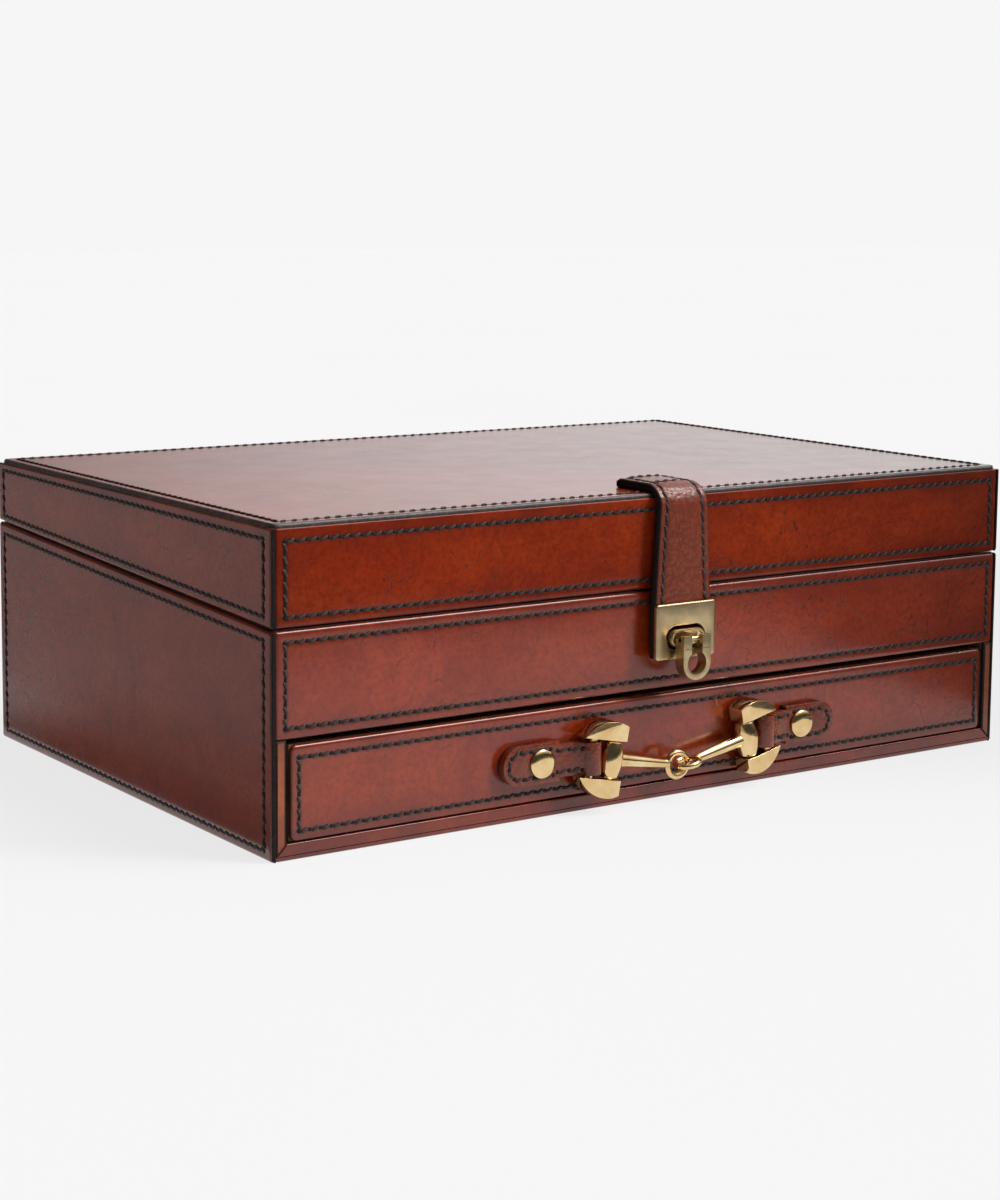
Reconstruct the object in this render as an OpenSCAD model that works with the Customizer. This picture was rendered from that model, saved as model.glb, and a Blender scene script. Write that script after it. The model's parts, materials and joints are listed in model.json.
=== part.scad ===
// Leather jewellery case: a hinged wedge lid over a lined tray, with a drawer below.
// The lid is held by a strap whose eyelet plate drops over a boss with a flip bail.
// The drawer is pulled by a jointed bit held in two riveted leather tabs.
// Millimetres. X runs across the front, Y from front to back, Z up from the underside.

/* [Case] */
// Width over the leather
case_w = 320; // [300:1:360]
// Depth over the leather
case_d = 212; // [204:1:240]
// Height over the leather
case_h = 108; // [106:1:118]
// Thickness of the wooden boards
board_t = 4; // [3.6:0.1:4.4]
// Thickness of the cover leather
skin_t = 1.5; // [1.3:0.1:1.7]
// How far the top leather stands back from the sides
top_inset = 1; // [0.6:0.1:1.4]

/* [Lid seam] */
// Height of the lid at the front face
lid_front_h = 33.6; // [30:0.2:36]
// Height of the lid at the back face
lid_back_h = 23.8; // [22:0.2:26]
// Open gap between the lid and the body
seam_gap = 0.8; // [0.6:0.1:1]

/* [Tray and linings] */
// Thickness of the shelf between the tray and the drawer
shelf_t = 3; // [2.5:0.1:4]
// Thickness of the suede lining
lining_t = 1; // [0.8:0.1:1.2]
// How far the wall linings stop short of the seam
lining_drop = 1; // [0.8:0.1:1.5]
// Thickness of the suede covered dividers
divider_t = 3; // [2.5:0.1:4]
// How far the tray dividers stop short of the seam at the front
divider_drop = 7.3; // [5:0.1:10]
// Width of the back row of tray compartments
tray_back_row = 92; // [84:1:98]
// Length of the ring rolls
roll_len = 168; // [150:1:180]
// Width of one ring roll
roll_w = 15; // [14:0.2:15.8]
// Height of one ring roll
roll_h = 16; // [14:0.5:18]
// Distance between ring rolls
roll_pitch = 16.4; // [16.2:0.1:16.6]
// Thickness of the padded lid lining
pad_t = 6; // [4:0.5:8]

/* [Drawer] */
// Height of the drawer front
front_h = 31.3; // [30:0.1:32.5]
// Gap above the drawer front
front_top_gap = 2; // [1.6:0.1:2.4]
// Gap beside the drawer
drawer_side_gap = 1.5; // [1.2:0.1:2]
// Thickness of the felt glides that carry the drawer
glide_t = 0.3; // [0.2:0.1:0.5]
// Width of a felt glide
glide_w = 10; // [8:1:14]
// Distance from the side of the drawer to the middle of a glide
glide_inset = 30; // [20:1:40]
// Thickness of the drawer front board
front_board_t = 5; // [4.5:0.1:6]
// Thickness of the drawer sides and back
drawer_wall_t = 4; // [3.5:0.1:5]
// Height of the drawer sides
drawer_side_h = 27; // [25:0.5:28]
// Thickness of the drawer bottom
drawer_bottom_t = 2.5; // [2:0.1:3]
// Gap behind the closed drawer
drawer_back_gap = 2; // [1:0.5:4]
// Height of the drawer dividers
drawer_divider_h = 17; // [14:0.5:18]

/* [Strap latch] */
// Place of the latch across the front
latch_x = 1; // [-4:0.5:4]
// How far the middle of the latch boss lies below the seam
latch_drop = 16.6; // [16:0.2:18]
// Thickness of the doubled strap leather
strap_t = 3.6; // [3.2:0.1:3.8]
// Gap between the hanging strap and the case
strap_gap = 1.5; // [1.4:0.1:1.7]
// Length of the strap sewn to the lid top
strap_root_len = 21; // [14:1:24]
// Width of the strap on the lid top
strap_top_w = 22; // [20:0.5:24]
// Width of the strap at the plate
strap_end_w = 25; // [24:0.5:25.6]
// Clearance of the strap root around the rounded head of the hanging part
fold_relief = 0.95; // [0.9:0.05:1]
// Width of the eyelet plate
plate_w = 26; // [25.8:0.2:28]
// Height of the eyelet plate
plate_h = 19.5; // [19:0.5:21]
// How far the middle of the eyelet plate lies above the latch boss
plate_rise = 2.4; // [2:0.1:2.6]
// Thickness of the eyelet plate
plate_t = 1.6; // [1.4:0.1:1.8]
// Length of the slot in the eyelet plate
slot_w = 17; // [16.4:0.2:18]
// Height of the slot in the eyelet plate
slot_h = 8.4; // [8:0.1:9.2]
// Clearance of the boss in the slot
slot_clear = 1.1; // [0.9:0.1:1.3]
// Thickness of the lock base plate
base_plate_t = 1.2; // [1:0.05:1.2]
// Width of the lock base plate
base_plate_w = 24; // [23:0.5:25]
// Height of the lock base plate
base_plate_h = 13; // [12:0.5:14]
// How far the boss stands out past the eyelet plate
boss_out = 1.3; // [1:0.1:1.6]
// Width of the block that carries the bail
block_w = 3.4; // [3:0.1:3.6]
// Depth of the bail
bail_t = 4.6; // [4.2:0.1:4.8]
// Width of the bail
bail_w = 12; // [11.6:0.2:12.4]
// Distance from the bail pin to the bottom of the bail
bail_drop = 14.1; // [13.6:0.1:14.4]
// Radius of the hole in the bail
bail_hole_r = 3.6; // [3.4:0.1:3.7]
// Radius of the bail pin
bail_pin_r = 0.9; // [0.8:0.05:1]

/* [Bit pull] */
// Height of the middle of the pull tabs
pull_z = 19.8; // [19.4:0.1:20.2]
// Distance from the centre to each swing bar
bar_x = 38.8; // [38:0.2:41]
// Tilt of each half of the bit
bit_tilt = 10.5; // [9:0.5:11]
// Distance from the drawer front to the middle of the bit
bit_out = 5.4; // [5.3:0.1:6]
// Radius of the swing bars and shanks
shank_r = 1.6; // [1.4:0.05:1.7]
// Distance from the swing bar to the shank
shank_off = 8.5; // [8.4:0.1:9]
// Outer radius of the D shaped cheeks
cheek_r = 13.2; // [12.6:0.1:13.4]
// Half height of the opening in the cheeks
cheek_open = 6.8; // [6.7:0.1:7]
// Length of a barrel
barrel_len = 12.7; // [12:0.1:12.9]
// Largest radius of a barrel
barrel_r = 4.35; // [4.1:0.05:4.4]
// Radius of a barrel at its ends
barrel_end_r = 3.3; // [3:0.1:3.6]
// Radius of a cannon beside the barrel
cannon_r = 2.4; // [2.1:0.1:2.6]
// Radius of a cannon beside the eye
cannon_tip_r = 1.5; // [1.3:0.1:1.7]
// Radius of the wire of an eye
eye_wire_r = 1.05; // [1:0.05:1.1]
// Radius of the middle line of an eye
eye_r = 4.2; // [4.1:0.05:4.3]
// Distance between the middles of the linked eyes
eye_dist = 4.6; // [4.4:0.1:4.8]
// Outward slope of the arms at rest
arm_slope = 3; // [2:0.5:4]
// Thickness of the pull tab leather
tab_t = 3.6; // [3.2:0.1:3.9]
// Height of the outer part of a tab
tab_h = 13.8; // [13:0.2:15]
// Height of the loop of a tab
loop_h = 11.2; // [10.6:0.1:11.3]
// Outer radius of the loop around the swing bar
loop_r = 3.6; // [3.4:0.1:3.7]
// Distance from the centre to the rounded tip of a tab
tab_tip_x = 73.7; // [72:0.1:78]
// Distance from the centre to the inner end of a tab's wide part
tab_in_x = 50.7; // [50:0.1:52]
// Distance from the centre to each rivet
rivet_x = 57.9; // [57:0.1:62]
// Radius of a rivet head
rivet_head_r = 5.1; // [4.6:0.1:5.4]
// Height of a rivet head
rivet_head_h = 1.9; // [1.5:0.1:2.2]
// Radius of a rivet shank
rivet_r = 1.5; // [1.3:0.1:1.7]
// Radius of a rivet washer
washer_r = 3.2; // [2.8:0.1:3.6]
// Thickness of a rivet washer
washer_t = 0.8; // [0.6:0.1:1]

/* [Hinges] */
// Distance from the centre to the middle of each hinge
hinge_x = 95; // [80:1:110]
// Width of a hinge
hinge_w = 38; // [34:1:44]
// Height of one hinge leaf, from the pin
leaf_h = 14; // [13:0.5:15]
// Thickness of a hinge leaf
leaf_t = 1.2; // [1:0.1:1.4]
// Radius of the hinge knuckles
knuckle_r = 2.4; // [2.2:0.1:2.6]
// Radius of the hinge pins
hinge_pin_r = 1.1; // [0.9:0.05:1.2]
// Gap between the knuckles and the leather
knuckle_gap = 0.4; // [0.35:0.05:0.6]
// Number of knuckles on a hinge
knuckle_count = 5; // [3:2:5]
// Radius of the screw shanks
screw_r = 0.9; // [0.8:0.05:1]
// Radius of the screw heads
screw_head_r = 1.9; // [1.7:0.1:2]
// Length of the hinge screws
screw_len = 5; // [4.5:0.1:5.4]

/* [Hidden] */

round_fn = 48;
fine_fn = 32;
// Radial clearance of a pin or shank that turns in a bore
turn_clear = 0.08;
// Radial clearance of a fastener in its hole
fit_clear = 0.02;
// Gap that keeps soft pieces clear of their neighbours
soft_gap = 0.3;

half_w = case_w / 2;
half_d = case_d / 2;
wall_t = board_t + skin_t;
in_x = half_w - wall_t;
in_y = half_d - wall_t;
skin_x = half_w - skin_t;
skin_y = half_d - skin_t;
seam_front = case_h - lid_front_h;
seam_back = case_h - lid_back_h;
seam_angle = atan((seam_back - seam_front) / case_d);
lid_skin_top = case_h - skin_t;
lid_ceiling = case_h - wall_t;

floor_top = wall_t;
drawer_z = floor_top + glide_t;
band_z = drawer_z + front_h + front_top_gap;
shelf_top = band_z + shelf_t;
tray_floor = shelf_top + lining_t;
tray_x = in_x - lining_t;
tray_y = in_y - lining_t;
divider_top = seam_front - divider_drop;
long_divider_y = tray_y - tray_back_row;
front_cell_d = long_divider_y - divider_t + tray_y;
roll_count = floor((front_cell_d - roll_w - 2 * soft_gap) / roll_pitch) + 1;
roll_cell_x = -tray_x + roll_len + 2 * soft_gap;
back_cell_w = (2 * tray_x - 2 * divider_t) / 3;

drawer_x = in_x - drawer_side_gap;
drawer_in_x = drawer_x - drawer_wall_t;
drawer_front_y = -skin_y + front_board_t;
drawer_back_y = in_y - drawer_back_gap;
drawer_in_back = drawer_back_y - drawer_wall_t;
drawer_floor = drawer_z + drawer_bottom_t;
drawer_cell_floor = drawer_floor + lining_t;
drawer_mid_y = (drawer_front_y + drawer_in_back) / 2;
glide_x = drawer_x - glide_inset;

latch_z = seam_front - latch_drop;
strap_back = strap_gap;
strap_front = strap_back + strap_t;
plate_front = strap_front + plate_t;
boss_front = plate_front + boss_out;
bail_half_t = bail_t / 2;
bail_axis_out = boss_front + bail_half_t + soft_gap;
boss_h = slot_h - 2 * slot_clear;
boss_w = slot_w - 2 * slot_clear;
bail_end_r = bail_w / 2;
bail_hole_z = latch_z - bail_drop + bail_end_r;
plate_z = latch_z + plate_rise - plate_h / 2;
strap_z = plate_z + 0.4;
fold_r = strap_gap;
fold_z = case_h - fold_r;
strap_pivot_out = strap_gap + strap_t / 2;
strap_head_r = strap_t / 2;

half_eye = eye_dist / 2;
shank_x = bar_x - shank_off * cos(bit_tilt);
shank_z = pull_z - shank_off * sin(bit_tilt);
arm_len = (shank_x - half_eye) / (cos(bit_tilt) * cos(arm_slope));
cheek_front_u = 3.3;
cheek_centre_u = 2.2;
cheek_half_t = 3.6;
cheek_ridge_u = 0.8;
cheek_tip_half_t = 1.9;

hinge_axis_y = half_d + knuckle_gap + knuckle_r;
hinge_axis_z = seam_back;
knuckle_len = hinge_w / knuckle_count;
knuckle_side_gap = 0.1;
leaf_start = knuckle_r + 0.5;
screw_z = (leaf_start + leaf_h) / 2;
screw_pitch = hinge_w / 3;
screw_head_h = 0.7;

// Box between two corners
module slab(low, high) {
  translate(low) cube(high - low);
}

// Everything above the seam plane, raised by rise
module seam_space(rise) {
  translate([0, -half_d, seam_front + rise])
    rotate([seam_angle, 0, 0])
      translate([-case_w, -case_d, 0])
        cube([2 * case_w, 3 * case_d, case_h]);
}

module under_seam(drop) {
  difference() {
    children();
    seam_space(-drop);
  }
}

module over_seam(rise) {
  intersection() {
    children();
    seam_space(rise);
  }
}

// Cylinder along Y from y0 to y1
module rod_y(x, z, y0, y1, r) {
  translate([x, y0, z])
    rotate([-90, 0, 0])
      cylinder(h = y1 - y0, r = r, $fn = fine_fn);
}

// Cylinder along X from x0 to x1
module rod_x(y, z, x0, x1, r) {
  translate([x0, y, z])
    rotate([0, 90, 0])
      cylinder(h = x1 - x0, r = r, $fn = fine_fn);
}

module mirror_x(side) {
  if (side < 0) mirror([1, 0, 0]) children();
  else children();
}

// ---- Body boards ----

module floor_board() {
  color("burlywood")
    slab([-in_x, -skin_y, skin_t], [in_x, in_y, floor_top]);
}

module side_wall_board() {
  under_seam(seam_gap / 2)
    slab([in_x, -skin_y, skin_t], [skin_x, skin_y, case_h]);
}

module left_wall_board() {
  color("burlywood") mirror_x(-1) side_wall_board();
}

module right_wall_board() {
  color("burlywood") side_wall_board();
}

module back_wall_board() {
  color("burlywood")
    difference() {
      under_seam(seam_gap / 2)
        slab([-in_x, in_y, skin_t], [in_x, skin_y, case_h]);
      hinge_screw_holes(-1);
    }
}

module front_band_board() {
  color("burlywood")
    difference() {
      under_seam(seam_gap / 2)
        slab([-in_x, -skin_y, band_z], [in_x, -in_y, case_h]);
      lock_screw_holes();
    }
}

module shelf_board() {
  color("burlywood")
    slab([-in_x, -in_y, band_z], [in_x, in_y, shelf_top]);
}

// ---- Body leather ----

module base_leather() {
  color("saddlebrown")
    slab([-skin_x, -half_d, 0], [skin_x, half_d, skin_t]);
}

module side_leather() {
  under_seam(seam_gap / 2)
    slab([skin_x, -half_d, 0], [half_w, half_d, case_h]);
}

module left_side_leather() {
  color("saddlebrown") mirror_x(-1) side_leather();
}

module right_side_leather() {
  color("saddlebrown") side_leather();
}

module back_leather() {
  color("saddlebrown")
    difference() {
      under_seam(seam_gap / 2)
        slab([-skin_x, skin_y, skin_t], [skin_x, half_d, case_h]);
      hinge_screw_holes(-1);
    }
}

module front_band_leather() {
  color("saddlebrown")
    difference() {
      under_seam(seam_gap / 2)
        slab([-skin_x, -half_d, band_z], [skin_x, -skin_y, case_h]);
      lock_screw_holes();
    }
}

// Strip on the front edge of a side wall, mitred onto the bottom rail
module post_leather() {
  translate([0, -skin_y, 0])
    rotate([90, 0, 0])
      linear_extrude(skin_t)
        polygon([[skin_x, skin_t], [skin_x, band_z], [in_x, band_z], [in_x, floor_top]]);
}

module left_post_leather() {
  color("sienna") mirror_x(-1) post_leather();
}

module right_post_leather() {
  color("sienna") post_leather();
}

module bottom_rail_leather() {
  color("sienna")
    translate([0, -skin_y, 0])
      rotate([90, 0, 0])
        linear_extrude(skin_t)
          polygon([[-skin_x, skin_t], [skin_x, skin_t], [in_x, floor_top], [-in_x, floor_top]]);
}

// ---- Tray ----

module tray_floor_lining() {
  color("tan")
    slab([-in_x, -in_y, shelf_top], [in_x, in_y, tray_floor]);
}

module wall_ring(z0, z1) {
  difference() {
    slab([-in_x, -in_y, z0], [in_x, in_y, z1]);
    slab([-tray_x, -tray_y, z0 - 1], [tray_x, tray_y, z1 + 1]);
  }
}

module tray_wall_lining() {
  color("tan")
    under_seam(lining_drop)
      wall_ring(tray_floor, case_h);
}

module tray_long_divider() {
  color("tan")
    slab([-tray_x, long_divider_y - divider_t, tray_floor],
         [tray_x, long_divider_y, divider_top]);
}

module tray_cross_dividers() {
  color("tan") {
    for (side = [-1, 1])
      translate([side * (back_cell_w + divider_t) / 2, 0, 0])
        slab([-divider_t / 2, long_divider_y, tray_floor],
             [divider_t / 2, tray_y, divider_top]);
    slab([roll_cell_x, -tray_y, tray_floor],
         [roll_cell_x + divider_t, long_divider_y - divider_t, divider_top]);
  }
}

// Round topped rolls that grip rings between them
module ring_rolls() {
  roll_r = roll_w / 2;
  first_y = -tray_y + (front_cell_d - (roll_count - 1) * roll_pitch) / 2;
  color("tan")
    for (i = [0 : roll_count - 1])
      translate([-tray_x + soft_gap, first_y + i * roll_pitch, tray_floor])
        rotate([90, 0, 90])
          linear_extrude(roll_len) {
            translate([0, roll_h - roll_r]) circle(r = roll_r, $fn = round_fn);
            translate([-roll_r, 0]) square([roll_w, roll_h - roll_r]);
          }
}

module drawer_glides() {
  color("dimgray")
    for (side = [-1, 1])
      translate([side * glide_x, 0, 0])
        slab([-glide_w / 2, drawer_front_y, floor_top],
             [glide_w / 2, drawer_back_y, drawer_z]);
}

// ---- Lock on the body ----

// Outline with round ends, in X and Z
module stadium(w, h) {
  for (side = [-1, 1])
    translate([side * (w - h) / 2, 0]) circle(d = h, $fn = round_fn);
  square([w - h, h], center = true);
}

// Stadium prism from out0 to out1 in front of the case
module stadium_prism(w, h, out0, out1) {
  translate([latch_x, -half_d - out0, latch_z])
    rotate([90, 0, 0])
      linear_extrude(out1 - out0) stadium(w, h);
}

lock_screw_x = boss_w / 2 + screw_head_r + 0.2;

module lock_screw_holes() {
  for (side = [-1, 1])
    rod_y(latch_x + side * lock_screw_x, latch_z,
          -half_d - base_plate_t - 1, -in_y + 1, screw_r + fit_clear);
}

module lock_base() {
  bail_y = -half_d - bail_axis_out;
  color("darkkhaki")
    difference() {
      union() {
        slab([latch_x - base_plate_w / 2, -half_d - base_plate_t, latch_z - base_plate_h / 2],
             [latch_x + base_plate_w / 2, -half_d, latch_z + base_plate_h / 2]);
        stadium_prism(boss_w, boss_h, base_plate_t / 2, boss_front);
        slab([latch_x - block_w / 2, bail_y, latch_z - bail_half_t],
             [latch_x + block_w / 2, -half_d - boss_front + 1, latch_z + bail_half_t]);
        rod_x(bail_y, latch_z, latch_x - block_w / 2, latch_x + block_w / 2, bail_half_t);
      }
      rod_x(bail_y, latch_z, latch_x - bail_w, latch_x + bail_w, bail_pin_r + fit_clear);
      lock_screw_holes();
      for (side = [-1, 1])
        rod_y(latch_x + side * lock_screw_x, latch_z,
              -half_d - base_plate_t - 1, -half_d - base_plate_t + screw_head_h,
              screw_head_r + fit_clear);
    }
}

module lock_screws() {
  head_y = -half_d - base_plate_t;
  color("darkkhaki")
    for (side = [-1, 1]) {
      rod_y(latch_x + side * lock_screw_x, latch_z, head_y, head_y + screw_head_h, screw_head_r);
      rod_y(latch_x + side * lock_screw_x, latch_z, head_y, head_y + screw_len, screw_r);
    }
}

module bail_pin() {
  color("darkkhaki")
    rod_x(-half_d - bail_axis_out, latch_z,
          latch_x - bail_w / 2, latch_x + bail_w / 2, bail_pin_r);
}

// Flat loop that hangs from the pin and keeps the eyelet plate on the boss
module bail() {
  bail_y = -half_d - bail_axis_out;
  slot = block_w + 2 * soft_gap;
  color("darkkhaki")
    difference() {
      union() {
        translate([latch_x, bail_y + bail_half_t, 0])
          rotate([90, 0, 0])
            linear_extrude(bail_t) {
              translate([0, bail_hole_z]) circle(r = bail_end_r, $fn = round_fn);
              translate([-bail_end_r, bail_hole_z])
                square([bail_w, latch_z - bail_hole_z]);
            }
        rod_x(bail_y, latch_z, latch_x - bail_end_r, latch_x + bail_end_r, bail_half_t);
      }
      rod_y(latch_x, bail_hole_z, bail_y - bail_t, bail_y + bail_t, bail_hole_r);
      slab([latch_x - slot / 2, bail_y - bail_t, bail_hole_z],
           [latch_x + slot / 2, bail_y + bail_t, latch_z + bail_t]);
      rod_x(bail_y, latch_z, latch_x - bail_w, latch_x + bail_w, bail_pin_r + turn_clear);
    }
}

// ---- Hinges ----

module hinge_screw_holes(side) {
  for (place = [-hinge_x, hinge_x], i = [-1, 0, 1])
    rod_y(place + i * screw_pitch, hinge_axis_z + side * screw_z,
          in_y - 1, half_d + leaf_t + 1, screw_r + fit_clear);
}

// Knuckle numbers of one leaf: the lower leaf has the even ones
function knuckles(side) = [for (k = [0 : knuckle_count - 1]) if (k % 2 == (side < 0 ? 0 : 1)) k];

module hinge_leaf(side) {
  leaf_z = hinge_axis_z + side * leaf_start;
  end_z = hinge_axis_z + side * leaf_h;
  difference() {
    union() {
      slab([-hinge_w / 2, half_d, min(leaf_z, end_z)],
           [hinge_w / 2, half_d + leaf_t, max(leaf_z, end_z)]);
      for (k = knuckles(side))
        translate([-hinge_w / 2 + k * knuckle_len + knuckle_side_gap, 0, 0]) {
          rod_x(hinge_axis_y, hinge_axis_z, 0, knuckle_len - 2 * knuckle_side_gap, knuckle_r);
          slab([0, half_d, min(hinge_axis_z, leaf_z)],
               [knuckle_len - 2 * knuckle_side_gap, half_d + leaf_t, max(hinge_axis_z, leaf_z)]);
        }
    }
    rod_x(hinge_axis_y, hinge_axis_z, -hinge_w, hinge_w,
          hinge_pin_r + (side < 0 ? fit_clear : turn_clear));
    for (i = [-1, 0, 1])
      rod_y(i * screw_pitch, hinge_axis_z + side * screw_z,
            half_d - 1, half_d + leaf_t + 1, screw_r + fit_clear);
  }
}

module hinge_lower_leaves() {
  color("darkkhaki")
    for (place = [-hinge_x, hinge_x])
      translate([place, 0, 0]) hinge_leaf(-1);
}

module hinge_upper_leaves() {
  color("darkkhaki")
    for (place = [-hinge_x, hinge_x])
      translate([place, 0, 0]) hinge_leaf(1);
}

module hinge_pins() {
  color("darkkhaki")
    for (place = [-hinge_x, hinge_x])
      rod_x(hinge_axis_y, hinge_axis_z, place - hinge_w / 2, place + hinge_w / 2, hinge_pin_r);
}

module hinge_screws(side) {
  head_y = half_d + leaf_t;
  for (place = [-hinge_x, hinge_x], i = [-1, 0, 1]) {
    x = place + i * screw_pitch;
    z = hinge_axis_z + side * screw_z;
    rod_y(x, z, head_y - screw_len, head_y, screw_r);
    rod_y(x, z, head_y, head_y + screw_head_h, screw_head_r);
  }
}

module hinge_lower_screws() {
  color("darkkhaki") hinge_screws(-1);
}

module hinge_upper_screws() {
  color("darkkhaki") hinge_screws(1);
}

// ---- Lid ----

module lid_board() {
  color("burlywood")
    slab([-skin_x, -skin_y, lid_ceiling], [skin_x, skin_y, lid_skin_top]);
}

module lid_front_board() {
  color("burlywood")
    over_seam(seam_gap / 2)
      slab([-in_x, -skin_y, 0], [in_x, -in_y, lid_ceiling]);
}

module lid_back_board() {
  color("burlywood")
    difference() {
      over_seam(seam_gap / 2)
        slab([-in_x, in_y, 0], [in_x, skin_y, lid_ceiling]);
      hinge_screw_holes(1);
    }
}

module lid_side_board() {
  over_seam(seam_gap / 2)
    slab([in_x, -skin_y, 0], [skin_x, skin_y, lid_ceiling]);
}

module lid_left_board() {
  color("burlywood") mirror_x(-1) lid_side_board();
}

module lid_right_board() {
  color("burlywood") lid_side_board();
}

module lid_top_leather() {
  color("saddlebrown")
    slab([-half_w + top_inset, -half_d + top_inset, lid_skin_top],
         [half_w - top_inset, half_d - top_inset, case_h]);
}

module lid_front_leather() {
  color("saddlebrown")
    over_seam(seam_gap / 2)
      slab([-skin_x, -half_d, 0], [skin_x, -skin_y, lid_skin_top]);
}

module lid_back_leather() {
  color("saddlebrown")
    difference() {
      over_seam(seam_gap / 2)
        slab([-skin_x, skin_y, 0], [skin_x, half_d, lid_skin_top]);
      hinge_screw_holes(1);
    }
}

module lid_side_leather() {
  over_seam(seam_gap / 2)
    slab([skin_x, -half_d, 0], [half_w, half_d, lid_skin_top]);
}

module lid_left_leather() {
  color("saddlebrown") mirror_x(-1) lid_side_leather();
}

module lid_right_leather() {
  color("saddlebrown") lid_side_leather();
}

module lid_wall_lining() {
  color("tan")
    over_seam(lining_drop)
      wall_ring(0, lid_ceiling);
}

module lid_pad() {
  color("tan")
    slab([-tray_x + soft_gap, -tray_y + soft_gap, lid_ceiling - pad_t],
         [tray_x - soft_gap, tray_y - soft_gap, lid_ceiling]);
}

// ---- Strap ----

// Part of the strap sewn to the lid top, with its fold over the front edge
module strap_root() {
  outer_r = fold_r + strap_t;
  color("saddlebrown")
    translate([latch_x - strap_top_w / 2, -half_d, fold_z])
      rotate([90, 0, 90])
        linear_extrude(strap_top_w)
          difference() {
            union() {
              translate([0, fold_r]) square([strap_root_len, strap_t]);
              difference() {
                circle(r = outer_r, $fn = round_fn);
                circle(r = fold_r, $fn = round_fn);
                translate([0, -2 * outer_r]) square(4 * outer_r);
                translate([-2 * outer_r, -4 * outer_r]) square(4 * outer_r);
              }
            }
            translate([-strap_pivot_out, 0])
              circle(r = strap_head_r + fold_relief, $fn = round_fn);
          }
}

// Hanging part of the strap, widening towards the plate
module strap_tongue() {
  slot_rim = 1;
  color("saddlebrown")
    difference() {
      union() {
        translate([0, -half_d - strap_back, 0])
          rotate([90, 0, 0])
            linear_extrude(strap_t)
              polygon([[latch_x - strap_end_w / 2, strap_z],
                       [latch_x + strap_end_w / 2, strap_z],
                       [latch_x + strap_end_w / 2, plate_z + plate_h],
                       [latch_x + strap_top_w / 2, fold_z],
                       [latch_x - strap_top_w / 2, fold_z],
                       [latch_x - strap_end_w / 2, plate_z + plate_h]]);
        rod_x(-half_d - strap_pivot_out, fold_z,
              latch_x - strap_top_w / 2, latch_x + strap_top_w / 2, strap_head_r);
      }
      stadium_prism(slot_w + 2 * slot_rim, slot_h + 2 * slot_rim, strap_back - 1, strap_front + 1);
    }
}

module eyelet_plate() {
  color("darkkhaki")
    difference() {
      slab([latch_x - plate_w / 2, -half_d - plate_front, plate_z],
           [latch_x + plate_w / 2, -half_d - strap_front, plate_z + plate_h]);
      stadium_prism(slot_w, slot_h, strap_front - 1, plate_front + 1);
    }
}

// ---- Drawer ----

module rivet_holes() {
  for (side = [-1, 1])
    rod_y(side * rivet_x, pull_z, -half_d - tab_t - 1, drawer_front_y + 1, rivet_r + fit_clear);
}

module drawer_front_board() {
  color("burlywood")
    difference() {
      slab([-drawer_x, -skin_y, drawer_z], [drawer_x, drawer_front_y, drawer_z + front_h]);
      rivet_holes();
    }
}

module drawer_front_leather() {
  color("saddlebrown")
    difference() {
      slab([-drawer_x, -half_d, drawer_z], [drawer_x, -skin_y, drawer_z + front_h]);
      rivet_holes();
    }
}

module drawer_side() {
  slab([drawer_in_x, drawer_front_y, drawer_z],
       [drawer_x, drawer_back_y, drawer_z + drawer_side_h]);
}

module drawer_left_side() {
  color("burlywood") mirror_x(-1) drawer_side();
}

module drawer_right_side() {
  color("burlywood") drawer_side();
}

module drawer_back() {
  color("burlywood")
    slab([-drawer_in_x, drawer_in_back, drawer_z],
         [drawer_in_x, drawer_back_y, drawer_z + drawer_side_h]);
}

module drawer_bottom() {
  color("burlywood")
    slab([-drawer_in_x, drawer_front_y, drawer_z],
         [drawer_in_x, drawer_in_back, drawer_floor]);
}

module drawer_lining() {
  color("tan")
    slab([-drawer_in_x, drawer_front_y, drawer_floor],
         [drawer_in_x, drawer_in_back, drawer_cell_floor]);
}

// One long divider with two shorter ones in front of it
module drawer_dividers() {
  top = drawer_cell_floor + drawer_divider_h;
  cell_w = (2 * drawer_in_x - 2 * divider_t) / 3;
  color("tan") {
    slab([-drawer_in_x, drawer_mid_y, drawer_cell_floor],
         [drawer_in_x, drawer_mid_y + divider_t, top]);
    for (side = [-1, 1])
      translate([side * (cell_w + divider_t) / 2, 0, 0])
        slab([-divider_t / 2, drawer_front_y + washer_t + soft_gap, drawer_cell_floor],
             [divider_t / 2, drawer_mid_y, top]);
  }
}

// ---- Bit pull ----

// Puts a half of the bit, drawn with its swing bar on Z and its shank towards -X, in place
module bit_place(side) {
  mirror_x(side)
    translate([bar_x, -half_d - bit_out, pull_z])
      rotate([0, -bit_tilt, 0])
        children();
}

// Leather tab: a round ended base and a loop that wraps the swing bar
module pull_tab() {
  tip_r = tab_h / 2;
  loop_top = bit_out + loop_r;
  rise_x = tab_in_x - 6;
  difference() {
    union() {
      translate([0, -half_d, pull_z])
        rotate([90, 0, 0])
          linear_extrude(tab_t) {
            translate([tab_tip_x - tip_r, 0]) circle(r = tip_r, $fn = round_fn);
            translate([tab_in_x, -tab_h / 2]) square([tab_tip_x - tip_r - tab_in_x, tab_h]);
          }
      translate([0, -half_d, pull_z - loop_h / 2])
        linear_extrude(loop_h) {
          polygon([[tab_in_x + 1, 0], [tab_in_x + 1, -tab_t], [rise_x, -tab_t - 0.8],
                   [bar_x, -loop_top], [bar_x, -bit_out + loop_r], [rise_x, 0]]);
          translate([bar_x, -bit_out]) circle(r = loop_r, $fn = round_fn);
        }
    }
    rivet_holes();
    translate([bar_x, -half_d - bit_out, pull_z])
      rotate([0, -bit_tilt, 0])
        cylinder(h = 2 * tab_h, r = shank_r + turn_clear, center = true, $fn = fine_fn);
  }
}

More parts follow.
